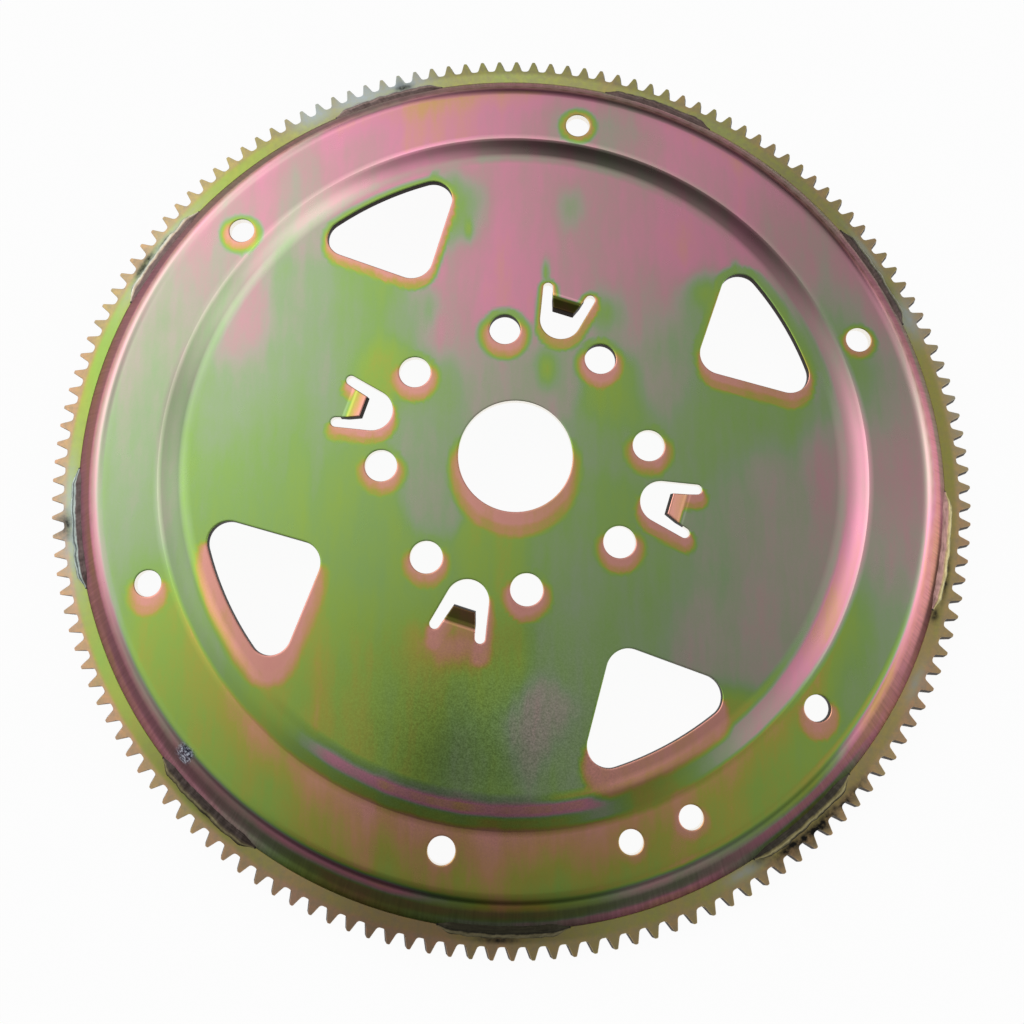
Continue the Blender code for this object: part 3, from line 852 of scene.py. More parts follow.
def lattice(inner, outer, spacing, holes):
    """Points on rings of a flat, clear of its holes."""
    places = []
    rings = max(1, round((outer - inner) / spacing))
    for i in range(1, rings):
        radius = inner + (outer - inner) * i / rings
        count = round(math.tau * radius / spacing)
        places += [polar(radius, math.tau * (k + i % 2 / 2) / count)[:] for k in range(count)]
    places = np.array(places)
    for hole in holes:
        near = np.linalg.norm(places - hole.mean(0), axis=1) < np.ptp(hole, axis=0).max() + spacing
        clear = ~near
        edge = grown(hole, EDGE_SUPPORT)
        clear[near] = ~inside(places[near], edge) & (distance_to(places[near], edge) > CLEAR_OF_EDGE)
        places = places[clear]
    return places


def tab_half_width(x):
    """Half the width from a tab's middle line to the middle of the slot's legs."""
    share = (x - TAB_END_RADIUS) / (SLOT_END_RADIUS - TAB_END_RADIUS)
    middle = TAB_END_HALF_WIDTH + SLOT_LEG_ROUND
    return middle + (slot_leg_end().y - middle) * share


def tab_frames(plan, first, last):
    """For each tab: its angle, the points in its own frame, and which are on it between two radii."""
    for angle in TAB_ANGLES:
        local = turned(plan, -angle)
        on_tab = (local[:, 0] > first) & (local[:, 0] < last)
        on_tab &= np.abs(local[:, 1]) < tab_half_width(local[:, 0])
        yield angle, local, on_tab


def on_tabs(plan, first, last):
    """Which points lie on any of the tabs between two radii."""
    return np.any([on_tab for _, _, on_tab in tab_frames(plan, first, last)], axis=0)


def tab_lattice():
    """Close points over the tabs and their bends."""
    from_end, from_side = TAB_MARGINS
    places = []
    for x in np.arange(TAB_END_RADIUS + from_end, TAB_BEND_RADIUS + TAB_BEND_RUN, TAB_SPACING):
        reach = tab_half_width(x) - SLOT_LEG_ROUND - from_side
        places += [(x, y) for y in np.linspace(-reach, reach, TAB_COLUMNS)]
    return np.concatenate([turned(np.array(places), angle) for angle in TAB_ANGLES])


def bend_tabs(places):
    """Turn the tabs up about their bend lines, through a short even curve."""
    places = np.array(places)
    start = TAB_BEND_RADIUS + TAB_BEND_RUN / 2
    curve = TAB_BEND_RUN / TAB_ANGLE
    for angle, local, on_tab in tab_frames(places[:, :2], TAB_EDGE_RADIUS, start):
        run = start - local[on_tab, 0]
        bent = np.clip(run, 0.0, TAB_BEND_RUN)
        turn = bent / TAB_BEND_RUN * TAB_ANGLE
        straight = run - bent
        depth = HUB_Z - places[on_tab, 2]
        x = start - curve * np.sin(turn) - straight * np.cos(turn) - depth * np.sin(turn)
        z = HUB_Z + curve * (1 - np.cos(turn)) + straight * np.sin(turn) - depth * np.cos(turn)
        plan = turned(np.stack([x, local[on_tab, 1]], 1), angle)
        places[on_tab] = np.column_stack([plan, z])
    return places


def cut_loops(shell, hole, face_z, finish):
    """The loops of a blanked edge, from the flat in front to the flat behind."""
    loops = [shell.loop(grown(hole, EDGE_SUPPORT), face_z)]
    for i in range(EDGE_STEPS + 1):
        turn = math.pi / 2 * i / EDGE_STEPS
        offset = EDGE_ROUND * (1 - math.sin(turn))
        loops.append(shell.loop(grown(hole, offset), face_z - EDGE_ROUND * (1 - math.cos(turn))))
    loops.append(shell.loop(hole, face_z - SHEAR_DEPTH))
    loops.append(shell.loop(hole, face_z - SHEET + BURR_ROUND))
    loops.append(shell.loop(grown(hole, BURR_ROUND), face_z - SHEET))
    loops.append(shell.loop(grown(hole, EDGE_SUPPORT), face_z - SHEET))
    finishes = [0] * EDGE_STEPS + [finish] * 3 + [WALL_PAINTED_BRIGHT] + [0]
    for first, second, shown in zip(loops, loops[1:], finishes):
        shell.strip(first, second, shown)
    return loops


def slot_finish(hole):
    """Painted shade on the walls of the tab's own edges, and a painted reflection round the rest of a slot."""
    middles = (hole + np.roll(hole, -1, axis=0)) / 2
    dark = on_tabs(middles, TAB_EDGE_RADIUS, TAB_BEND_RADIUS + TAB_BEND_RUN)
    return [WALL_PAINTED_DARK if on_tab else WALL_PAINTED_BRIGHT for on_tab in dark]


def ring_loops(shell, section):
    """A loop round the axis for each point of a section line, with quads between them."""
    loops = [shell.loop(circle(p.x, sides=AROUND), p.y) for p in section]
    for first, second in zip(loops, loops[1:]):
        shell.strip(second, first)
    return loops


def step_section(face_radii, drop):
    """The step between hub and pad on one face of the sheet."""
    hub_z = HUB_Z - drop
    pad_z = PAD_Z - drop
    shift = drop * math.tan(STEP_SLOPE / 2)
    corners = [
        Vector((HUB_RADIUS - HUB_FLAT_END, hub_z)),
        Vector((HUB_RADIUS - shift, hub_z)),
        Vector((PAD_INNER_RADIUS - shift, pad_z)),
        Vector((PAD_INNER_RADIUS + PAD_FLAT_START, pad_z)),
    ]
    return spaced(rounded_line(corners, face_radii, BEND_STEPS), BAND_SPACING)


def rim_section():
    """The rim from the pad's front over the flange's lip to the pad's back."""
    corners = [
        Vector((PAD_OUTER_RADIUS - PAD_FLAT_END, PAD_Z)),
        Vector((PAD_OUTER_RADIUS, PAD_Z)),
        Vector((FLANGE_RADIUS, RING_WIDTH)),
        Vector((FLANGE_RADIUS, FLANGE_Z)),
        Vector((FLANGE_RADIUS - SHEET, FLANGE_Z)),
        Vector((FLANGE_RADIUS - SHEET, RING_WIDTH - SHEET * math.tan(RIM_SLOPE / 2))),
        Vector((PAD_OUTER_RADIUS - SHEET * math.tan(RIM_SLOPE / 2), PAD_Z - SHEET)),
        Vector((PAD_OUTER_RADIUS - PAD_FLAT_END, PAD_Z - SHEET)),
    ]
    radii = (RIM_BEND + SHEET, FLANGE_CORNER, LIP_ROUND, LIP_ROUND, LIP_ROUND, RIM_BEND)
    return spaced(rounded_line(corners, radii, BEND_STEPS), BAND_SPACING)


def in_flat(plan, edges, holes):
    """Which points lie between the edges of a flat and clear of its holes."""
    radius = np.linalg.norm(plan, axis=1)
    kept = (radius > edges[0]) & (radius < edges[1])
    for hole in holes:
        kept &= ~inside(plan, grown(hole, EDGE_SUPPORT))
    return kept


def blank(shell, holes, height, walls):
    """The loops of several blanked edges in one flat, each with its own finish of wall."""
    return [cut_loops(shell, hole, height, wall) for hole, wall in zip(holes, walls)]


def make_disc():
    """The stamped disc: two flats with blanked holes, the step between them and the rim."""
    shell = Shell()
    front_step = ring_loops(shell, step_section((HUB_BEND + SHEET, STEP_BEND), 0.0))
    rim = ring_loops(shell, rim_section())
    back_step = ring_loops(shell, step_section((HUB_BEND, STEP_BEND + SHEET), SHEET)[::-1])
    # Each cut's walls: painted shade on the windows, the tabs' edges and a few holes, a painted reflection on
    # the rest
    walls = [WALL_PAINTED_DARK if i in PAINTED_DARK_ROUND_HOLES else WALL_PAINTED_BRIGHT for i in range(len(ROUND_HOLES))]
    walls += [WALL_PAINTED_DARK] * WINDOWS + [slot_finish(hole) for hole in SLOT_HOLES]
    hub_cuts = blank(shell, HUB_HOLES, HUB_Z, walls)
    walls = [WALL_PAINTED_DARK if i in PAINTED_DARK_PAD_HOLES else WALL_PAINTED_BRIGHT for i in range(len(PAD_HOLES))]
    pad_cuts = blank(shell, PAD_HOLES, PAD_Z, walls)
    hub_edges = (0.0, HUB_RADIUS - HUB_FLAT_END)
    pad_edges = (PAD_INNER_RADIUS + PAD_FLAT_START, PAD_OUTER_RADIUS - PAD_FLAT_END)
    tab_points = tab_lattice()
    for drop, spacing, end, step_end, pad_ends in (
            (0.0, FRONT_SPACING, 0, front_step[0], [front_step[-1], rim[0]]),
            (SHEET, BACK_SPACING, -1, back_step[-1], [back_step[0], rim[-1]])):
        points = lattice(*hub_edges, spacing, HUB_HOLES)
        near_tabs = on_tabs(points, TAB_END_RADIUS, TAB_BEND_RADIUS + TAB_BEND_RUN + CLEAR_OF_EDGE)
        points = np.concatenate([points[~near_tabs], tab_points])
        loops = [step_end] + [cut[end] for cut in hub_cuts]
        shell.fill(loops, points, HUB_Z - drop, hub_edges, HUB_HOLES, end == 0)
        points = lattice(*pad_edges, spacing, PAD_HOLES)
        loops = pad_ends + [cut[end] for cut in pad_cuts]
        shell.fill(loops, points, PAD_Z - drop, pad_edges, PAD_HOLES, end == 0)
    flat_places = np.array(shell.places)
    shell.places = bend_tabs(shell.places).tolist()
    finishes = [plated_sheet(), painted_bright_wall(), dark_flank_and_painted_shade(*PAINTED_DARK_WALL_LOOK)]
    disc = shell.piece("flexplate_disc", finishes, SHARP_ANGLE)
    dress_disc(disc, flat_places)
    return disc


def eased(share):
    """A smooth rise from 0 to 1."""
    share = np.clip(share, 0.0, 1.0)
    return share * share * (3 - 2 * share)


def around(table, angles, column):
    """Values of a table read smoothly at angles round the part."""
    known = np.radians([row[0] for row in table])
    values = np.array([row[column] for row in table], float)
    known = np.append(known, math.tau)
    values = np.append(values, values[0])
    angles = angles % math.tau
    number = np.clip(np.searchsorted(known, angles, side="right") - 1, 0, len(table) - 1)
    share = eased((angles - known[number]) / (known[number + 1] - known[number]))
    return values[number] + (values[number + 1] - values[number]) * share


def halo(places):
    """The most film there can be round the cut edges, where it has run down and stayed thin."""
    least = np.full(len(places), np.inf)
    down = turned(np.array([[0.0, -1.0]]), -VIEW_TURN)[0]
    steps, most = zip(*HALO_PROFILE)
    cuts = [(ROUND_HOLES[0], BORE_DRIFTS)]
    cuts += [(hole, CRANK_DRIFTS) for hole in ROUND_HOLES[1:]]
    cuts += list(zip(PAD_HOLES, PAD_DRIFTS)) + list(zip(WINDOW_HOLES, WINDOW_DRIFTS))
    cuts += list(zip(SLOT_HOLES, SLOT_DRIFTS))
    for hole, drifts in cuts:
        near = np.linalg.norm(places - hole.mean(0), axis=1) < np.ptp(hole, axis=0).max() / 2 + HALO_LIMIT
        clear = distance_to(places[near], hole) / MM
        for drift, width, thinnest in drifts:
            seen = places[near] - down * drift * MM
            away = np.where(inside(seen, hole), 0.0, distance_to(seen, hole)) / MM
            limit = np.maximum(np.interp(away / width, steps, most), thinnest)
            limit += HALO_LIFT * np.maximum(away - clear, 0.0) ** 2
            least[near] = np.minimum(least[near], limit)
    return least


def oval(view, x, y, half_width, half_height):
    """How far points lie from an oval's middle, squared: 1 on the oval itself."""
    return ((view[:, 0] / MM - x) / half_width) ** 2 + ((view[:, 1] / MM - y) / half_height) ** 2


def hub_film(view):
    """Film on the hub: the patches, each fading into its neighbours, and the drips."""
    total = np.zeros(len(view))
    weights = np.full(len(view), 1e-9)
    for x, y, reach, film in FILM_PATCHES:
        weight = np.exp(-oval(view, x, y, reach, PATCH_HEIGHT * reach))
        total += weight * film
        weights += weight
    total /= weights
    for x, y, half_width, half_height, film in DRIPS:
        total += (film - total) * np.exp(-oval(view, x, y, half_width, half_height))
    return total


def spots(table, view, sharpness):
    """Strength of round spots on points in the view-up frame, fading out at their reach."""
    strength = np.zeros(len(view))
    for x, y, reach, most in table:
        strength += most * np.exp(-oval(view, x, y, reach, reach) ** sharpness)
    return strength


def lead(looks, table, column, angle, share):
    """Draw film and painted light towards two columns of a table, by a share."""
    film, painted_light = looks
    film += (around(table, angle, column) - film) * share
    painted_light += (around(table, angle, column + 1) - painted_light) * share


def dress_disc(disc, places):
    """Store the film, its level of painted light and shade, the drawn lines, the grain and the spatter on the
    disc's points.
    """
    view = view_up(places)
    radius = np.linalg.norm(view, axis=1)
    angle = np.arctan2(view[:, 1], view[:, 0])

    def past(start):
        return eased((radius / MM - start[0]) / start[1])

    film = hub_film(view)
    # Level of painted light: painted highlights above 1, painted shade below 1
    painted_light = np.ones(len(view))
    looks = (film, painted_light)
    for number, start in enumerate(STEP_STARTS):
        lead(looks, STEP_LOOKS, 1 + 2 * number, angle, past(start))
        if number == 1:
            lower = around(LOWER_STEP, angle, 1) * past(LOWER_STEP_START)
            film += (LOWER_STEP_LOOK[0] - film) * lower
            painted_light *= 1.0 + (LOWER_STEP_LOOK[1] - 1.0) * lower
    across = np.clip((radius - PAD_INNER_RADIUS) / PAD_WIDTH, 0.0, 1.0) * 2
    # The pad's film, and its level of painted light and shade
    inner, middle, outer, level = (around(PAD_LOOKS, angle, column) for column in (1, 2, 3, 4))
    pad = np.where(across < 1, inner + (middle - inner) * across, middle + (outer - middle) * (across - 1))
    film += (pad - film) * past(PAD_START)
    painted_light += (level - painted_light) * past(PAD_START)
    for number, start in enumerate(RIM_STARTS):
        lead(looks, RIM_LOOKS, 1 + 2 * number, angle, past(start))
    film[:] = np.minimum(film, halo(places[:, :2]))
    # Painted shade on the lower hub
    painted_light *= 1.0 - spots(HUB_PAINTED_SHADE, view, 1.0)
    dress_tabs(places, looks)
    store(disc, "film", film)
    store(disc, "painted_light", painted_light)
    store(disc, "drawn", past(RIM_STARTS[2]))
    store(disc, "grain", np.exp(-oval(view, *GRAIN_PLACE)))
    store(disc, "spatter", spots(SPATTER, view, 2.0))


def dress_tabs(places, looks):
    """Give each tab its own film and painted light for the way it faces, with painted highlights along its
    bend.
    """
    film, painted_light = looks
    tabs = tab_frames(places[:, :2], TAB_EDGE_RADIUS, np.inf)
    for (bend, end, level), (_, local, on_tab) in zip(TAB_LOOKS, tabs):
        x = local[:, 0]
        share = on_tab * eased((TAB_FADE[0] - x) / TAB_FADE[1])
        along = np.clip((x - TAB_END_RADIUS) / (TAB_BEND_RADIUS - TAB_END_RADIUS), 0.0, 1.0)
        film += (end + (bend - end) * along - film) * share
        painted_light += (level - painted_light) * share
        # Painted highlights along the bend
        for line in TAB_HIGHLIGHT_LINES:
            painted_light += on_tab * TAB_HIGHLIGHT_GAIN * np.exp(-((x - line) / TAB_HIGHLIGHT_WIDTH) ** 2)


def store(piece, name, values):
    """Keep a value for each point of a piece, for its material."""
    layer = piece.data.attributes.new(name, "FLOAT", "POINT")
    layer.data.foreach_set("value", np.asarray(values, np.float32))


def tooth_outline(number, lead_in):
    """One tooth from the middle of its root gap, with filleted roots and eased tips."""
    centre = TOOTH_PHASE + math.tau * number / TEETH
    corners = [polar(ROOT_RADIUS, centre - math.pi / TEETH)]
    for radius, side in ((ROOT_RADIUS, -1), (TIP_RADIUS, -1), (TIP_RADIUS, 1), (ROOT_RADIUS, 1)):
        thickness = math.pi * GEAR_MODULE / 2 - 2 * (radius - PITCH_RADIUS) * math.tan(PRESSURE_ANGLE)
        offset = side * thickness / 2 + (lead_in if side < 0 else 0.0)
        corners.append(polar(radius, centre + offset / radius))
    corners.append(polar(ROOT_RADIUS, centre + math.pi / TEETH))
    radii = (ROOT_FILLET, TIP_ROUND, TIP_ROUND, ROOT_FILLET)
    return rounded_line(corners, radii, TOOTH_STEPS)[:-1]


def gear_outline(lead_in, inset):
    """The toothed outline, drawn in by an inset."""
    outline = np.array([p[:] for i in range(TEETH) for p in tooth_outline(i, lead_in)])
    return grown(outline, -inset)


def make_ring_gear():
    """The ring gear: toothed outside, chamfered bore, and lead-ins on its front."""
    shell = Shell()
    plain = gear_outline(0.0, 0.0)
    angles = np.arctan2(plain[:, 1], plain[:, 0])

    def ring(radius):
        return np.stack([radius * np.cos(angles), radius * np.sin(angles)], 1)

    face_edges = (ROOT_RADIUS - GEAR_SUPPORT, RING_BORE_RADIUS + 2 * BORE_CHAMFER)
    face_radii = np.linspace(*face_edges, GEAR_FACE_RINGS)
    loops = [
        shell.loop(ring(ROOT_RADIUS - GEAR_SUPPORT), 0.0),
        shell.loop(gear_outline(0.0, TOOTH_EDGE), 0.0),
        shell.loop(plain, TOOTH_EDGE),
        shell.loop(plain, RING_WIDTH - LEAD_IN_DEPTH),
        shell.loop(gear_outline(LEAD_IN_WIDTH, 0.0), RING_WIDTH - TOOTH_EDGE),
        shell.loop(gear_outline(LEAD_IN_WIDTH, TOOTH_EDGE), RING_WIDTH),
        *[shell.loop(ring(radius), RING_WIDTH) for radius in face_radii],
        shell.loop(ring(RING_BORE_RADIUS + BORE_CHAMFER), RING_WIDTH),
        shell.loop(ring(RING_BORE_RADIUS), RING_WIDTH - BORE_CHAMFER),
        shell.loop(ring(RING_BORE_RADIUS), BORE_CHAMFER),
        shell.loop(ring(RING_BORE_RADIUS + BORE_CHAMFER), 0.0),
    ]
    flank_strips = (2, 3)
    for number, (first, second) in enumerate(zip(loops, loops[1:] + loops[:1])):
        shell.strip(first, second, finish=1 if number in flank_strips else 0)
    gear = shell.piece("toothed_ring", [plated_gear(), dark_flank_and_painted_shade(*CUT_FLANK)], GEAR_SHARP_ANGLE)
    dress_gear(gear, np.array(shell.places))
    return gear


def marks(table, view):
    """Strength of a set of marks on points in the view-up frame."""
    radius = np.linalg.norm(view, axis=1) / MM
    angle = np.degrees(np.arctan2(view[:, 1], view[:, 0]))
    strength = np.zeros(len(view))
    for middle, spread, ring, reach, most in table:
        turn = (angle - middle + 180) % 360 - 180
        strength = np.maximum(strength, most * np.exp(-(turn / spread) ** 2 - ((radius - ring) / reach) ** 2))
    return strength


def dress_gear(gear, places):
    """Store the film, its level of painted light and shade, and the marks by the welds on the gear's points.
    """
    view = view_up(places)
    radius = np.linalg.norm(view, axis=1)
    angle = np.arctan2(view[:, 1], view[:, 0])
    outwards = eased((radius - ROOT_RADIUS + TOOTH_FADE) / TOOTH_FADE)
    # Film and level of painted light and shade by angle, from ring to teeth
    film, painted_light, ring_tan = (around(GEAR_LOOKS, angle, column) for column in (1, 2, 5))
    lead((film, painted_light), GEAR_LOOKS, 3, angle, outwards)
    store(gear, "film", film)
    store(gear, "painted_light", painted_light)
    store(gear, "tan", ring_tan + (1.0 - ring_tan) * outwards)
    store(gear, "silver", marks(SILVER_MARKS, view))
    store(gear, "soot", marks(SOOT_MARKS, view))


def wave(along, side, seed, length):
    """A lump's height between -1 and 1 at a place on a bead."""
    place = Vector((along / length, side * WELD_LUMP_SHARE, seed * WELD_SEED_STEP))
    return noise.fractal(place, 1.0, 2.0, 3)


def weld_place(middle, along, side, size, seed):
    """A point on a bead: round its section from the gear's face over the crown to the rim."""
    root = Vector((
        FLANGE_RADIUS + SEAT_GAP * (1 - math.sin(RIM_SLOPE)) / math.cos(RIM_SLOPE),
        RING_WIDTH + SEAT_GAP))
    up_rim = Vector((-math.sin(RIM_SLOPE), math.cos(RIM_SLOPE)))
    outer, inner = (size * (1 + WELD_WANDER * wave(along, 0.0, seed + shift, WELD_WANDER_LENGTH))
                    for shift in (WELD_FOOT_SEED, WELD_TOP_SEED))
    foot = root + Vector((WELD_LEG * outer, -SEAT_GAP - WELD_SINK))
    top = root + up_rim * WELD_LEG * inner - Vector((WELD_SINK, WELD_SINK))
    outwards = (foot - top).orthogonal().normalized()
    lag = (side - 0.5) ** 2 * WELD_RIPPLE_LAG
    ripple = WELD_RIPPLE_HEIGHT * math.sin(math.tau * (along + lag) / WELD_RIPPLE)
    crown = WELD_CROWN + WELD_LUMPS * wave(along, side, seed, WELD_LUMP_LENGTH)
    height = math.sin(math.pi * side) ** WELD_FULLNESS * (crown * size + ripple)
    flat = foot.lerp(top, side) + outwards * height
    plan = polar(flat.x, middle + along / FLANGE_RADIUS)
    return plan.x, plan.y, flat.y


def make_weld(number):
    """One weld bead: a lumpy fillet that tapers at both ends."""
    shell = Shell()
    middle = WELD_PHASE + math.tau * number / WELDS
    loops = []
    toe = []
    sides = []
    for i in range(WELD_STATIONS + 1):
        along = (i / WELD_STATIONS - 0.5) * WELD_LENGTH
        from_end = WELD_LENGTH / 2 - abs(along)
        size = WELD_END_SIZE + (1 - WELD_END_SIZE) * eased(from_end / WELD_TAPER)
        first = len(shell.places)
        for k in range(WELD_SIDES + 1):
            side = k / WELD_SIDES
            shell.places.append(weld_place(middle, along, side, size, number))
            toe.append(1.0 - eased(from_end / WELD_TAPER / WELD_TOE))
            sides.append(side)
        x, y, z = shell.places[first]
        under = math.hypot(x, y) - WELD_LEG * size
        plan = polar(under, middle + along / FLANGE_RADIUS)
        shell.places.append((plan.x, plan.y, z))
        toe.append(1.0)
        sides.append(0.0)
        loops.append(list(range(first, len(shell.places))))
    for first, second in zip(loops, loops[1:]):
        shell.strip(second, first)
    for end in (loops[0], loops[-1][::-1]):
        shell.faces.append(tuple(end))
        shell.finishes.append(0)
    bead = shell.piece("weld_bead_%d" % (number + 1), [bead_finish(number)], WELD_SHARP_ANGLE)
    store(bead, "toe", toe)
    store(bead, "side", sides)
    return bead


class Tree:
    """A node tree, with short ways to add its nodes."""

    def __init__(self, owner):
        owner.use_nodes = True
        self.nodes = owner.node_tree.nodes
        self.links = owner.node_tree.links
        self.nodes.clear()

    def add(self, kind, inputs=(), **settings):
        """A node with its settings, and its inputs by name or number as values or sockets."""
        node = self.nodes.new("ShaderNode" + kind)
        for name, value in settings.items():
            setattr(node, name, value)
        for name, value in dict(inputs).items():
            if isinstance(value, bpy.types.NodeSocket):
                self.links.new(value, node.inputs[name])
            else:
                node.inputs[name].default_value = value
        return node

    def maths(self, operation, first, second=0.0, clamp=False):
        """The result of a sum of two values."""
        return self.add("Math", {0: first, 1: second}, operation=operation, use_clamp=clamp).outputs[0]

    def vector(self, operation, first, second=(0.0, 0.0, 0.0)):
        """The result of a sum of two vectors, as a vector or as a plain number."""
        node = self.add("VectorMath", {0: first, 1: second}, operation=operation)
        return node.outputs["Value" if operation in ("LENGTH", "DOT_PRODUCT") else "Vector"]

    def product(self, *factors, clamp=False):
        """The product of all the factors."""
        result = factors[0]
        for factor in factors[1:]:
            result = self.maths("MULTIPLY", result, factor)
        result.node.use_clamp = clamp
        return result

    def swing(self, noise_value, height, clamp=False):
        """A value between 0 and 1 made to swing about zero, by half a height to each side."""
        return self.product(self.maths("SUBTRACT", noise_value, 0.5), height, clamp=clamp)

    def value(self, name):
        """A value stored on the piece's points."""
        return self.add("Attribute", attribute_name=name).outputs["Fac"]

    def ramp(self, factor, stops):
        """A colour ramp through its stops."""
        node = self.add("ValToRGB", {0: factor})
        elements = node.color_ramp.elements
        while len(elements) < len(stops):
            elements.new(0.5)
        for element, (place, colour) in zip(elements, stops):
            element.position = place
            element.color = (*colour, 1.0)
        return node.outputs["Color"]

    def blend(self, share, first, second, **settings):
        """A colour between two others."""
        return self.add("Mix", {0: share, 6: first, 7: second}, data_type="RGBA", **settings).outputs[2]

    def dimmed(self, colour, level):
        """A colour made lighter or darker by a level."""
        grey = self.add("CombineColor", {0: level, 1: level, 2: level}).outputs[0]
        return self.blend(1.0, colour, grey, blend_type="MULTIPLY")

    def noise(self, coordinates, scale, detail, roughness):
        """Noise between 0 and 1 at a number of waves to the metre."""
        return self.add("TexNoise", {
            "Vector": coordinates, "Scale": scale, "Detail": detail, "Roughness": roughness}).outputs[0]

    def coordinates(self, stretch=(1.0, 1.0, 1.0)):
        """The part's own coordinates, turned into the view-up frame and stretched."""
        place = self.add("TexCoord").outputs["Object"]
        turned_place = self.add("VectorRotate", {"Vector": place, "Angle": VIEW_TURN}, rotation_type="Z_AXIS")
        return self.vector("MULTIPLY", turned_place.outputs[0], stretch)

    def round_coordinates(self, along, outwards):
        """Coordinates that run round the axis and outwards, each stretched by its own share."""
        place = self.add("TexCoord").outputs["Object"]
        parts = self.add("SeparateXYZ", {0: place}).outputs
        angle = self.maths("ARCTAN2", parts[1], parts[0])
        return self.add("CombineXYZ", {
            0: self.product(angle, FLANGE_RADIUS * along),
            1: self.product(self.vector("LENGTH", place), outwards)}).outputs[0]

    def surface(self, shader):
        """Join a shader to the material's output."""
        self.add("OutputMaterial", {"Surface": shader.outputs[0]})


class Finish(Tree):
    """The node tree of a new material."""

    def __init__(self, name):
        self.material = bpy.data.materials.new(name)
        super().__init__(self.material)

    def metal(self, colour, metallic, roughness, bump, more=()):
        """The finished material: metal of this colour with a fine uneven surface."""
        strength, scale, depth = bump
        height = self.noise(self.coordinates(BUMP_STRETCH), scale, *BUMP_NOISE)
        normal = self.add("Bump", {"Strength": strength, "Distance": depth, "Height": height}).outputs[0]
        self.surface(self.add("BsdfPrincipled", {
            "Base Color": colour, "Metallic": metallic, "Roughness": roughness, "Normal": normal,
            **dict(more)}))
        return self.material


def film_colour(tree, streaked=1.0):
    """The colour of the stored film, with long streaks and small clouds in its thickness, scaled by the stored
    painted light.
    """
    film = tree.value("film")
    for stretch, scale, height in FILM_STREAKS:
        streaks = tree.noise(tree.coordinates((1.0, stretch, 1.0)), scale, *STREAK_NOISE)
        film = tree.maths("ADD", film, tree.swing(streaks, height * streaked))
    stops = [(place / FILM_RANGE, colour) for place, colour in FILM_COLOURS]
    colour = tree.ramp(tree.maths("DIVIDE", film, FILM_RANGE, clamp=True), stops)
    return tree.dimmed(colour, tree.value("painted_light"))


def plated_sheet():
    """Iridescent yellow zinc on smooth rolled sheet, drawn into fine lines on the rim."""
    tree = Finish("plated_sheet")
    drawn = tree.value("drawn")
    lines = tree.noise(tree.round_coordinates(*DRAWN_STRETCH), *LINE_NOISE)
    specks = tree.noise(tree.coordinates(), *SPECK_NOISE)
    colour = film_colour(tree)
    for pattern, contrast, share in (
            (lines, DRAWN_CONTRAST, drawn), (specks, GRAIN_CONTRAST, tree.value("grain"))):
        level = tree.product(tree.swing(pattern, contrast), share)
        colour = tree.dimmed(colour, tree.maths("ADD", level, 1.0))
    lumps = tree.noise(tree.coordinates(), *LUMP_NOISE)
    burnt = tree.product(tree.maths("ADD", lumps, 1.0), tree.value("spatter"), clamp=True)
    colour = tree.blend(burnt, colour, tree.ramp(lumps, ASH_COLOURS))
    least, more = SHEET_ROUGHNESS
    clouds = tree.product(tree.noise(tree.coordinates(), *CLOUD_NOISE), more)
    rough = tree.maths("ADD", clouds, least)
    rough = tree.maths("ADD", rough, tree.product(drawn, DRAWN_ROUGHNESS))
    metallic = tree.maths("SUBTRACT", 1.0, tree.product(drawn, DRAWN_DULLNESS))
    return tree.metal(colour, metallic, rough, SHEET_BUMP, {"Specular Tint": GRAZING_TINT})


def painted_bright_wall():
    """The walls of the round holes and the slots, pale: a painted reflection."""
    tree = Finish("painted_bright_wall")
    mottle = tree.noise(tree.coordinates(WALL_STRETCH), *WALL_NOISE)
    return tree.metal(tree.blend(mottle, *PAINTED_BRIGHT_WALL_COLOURS), 1.0, BRIGHT_ROUGHNESS, BRIGHT_BUMP)


def plated_gear():
    """The same plating, browner, on the turned ring, with bare and sooty places by the welds."""
    tree = Finish("plated_ring")
    colour = film_colour(tree, GEAR_STREAKS)
    mottle = tree.noise(tree.coordinates(), *GEAR_NOISE)
    tanned = tree.product(mottle, 2 * GEAR_TAN_SHARE, tree.value("tan"), clamp=True)
    # The tan is scaled by the stored painted light too
    colour = tree.blend(tanned, colour, tree.dimmed(GEAR_TAN, tree.value("painted_light")))
    bare = tree.product(tree.value("silver"), tree.maths("ADD", mottle, 0.45), clamp=True)
    colour = tree.blend(bare, colour, GEAR_SILVER)
    sooty = tree.product(mottle, 2.0, tree.value("soot"), clamp=True)
    colour = tree.blend(sooty, colour, GEAR_SOOT)
    least, more = GEAR_ROUGHNESS
    rough = tree.maths("ADD", tree.product(mottle, more), least)
    return tree.metal(colour, 0.9, rough, GEAR_BUMP)


def dark_flank_and_painted_shade(name, colour, metallic, reflection):
    """A dark finish with a faint mottle: painted shade on cut walls, and the teeth's dark flanks."""
    tree = Finish(name)
    lighter = [STEEL_MOTTLE_LIFT * level for level in colour]
    mottle = tree.noise(tree.coordinates(), *STEEL_NOISE)
    shown = tree.blend(mottle, (*colour, 1.0), (*lighter, 1.0))
    return tree.metal(shown, metallic, STEEL_ROUGHNESS, STEEL_BUMP, {"Specular IOR Level": reflection})


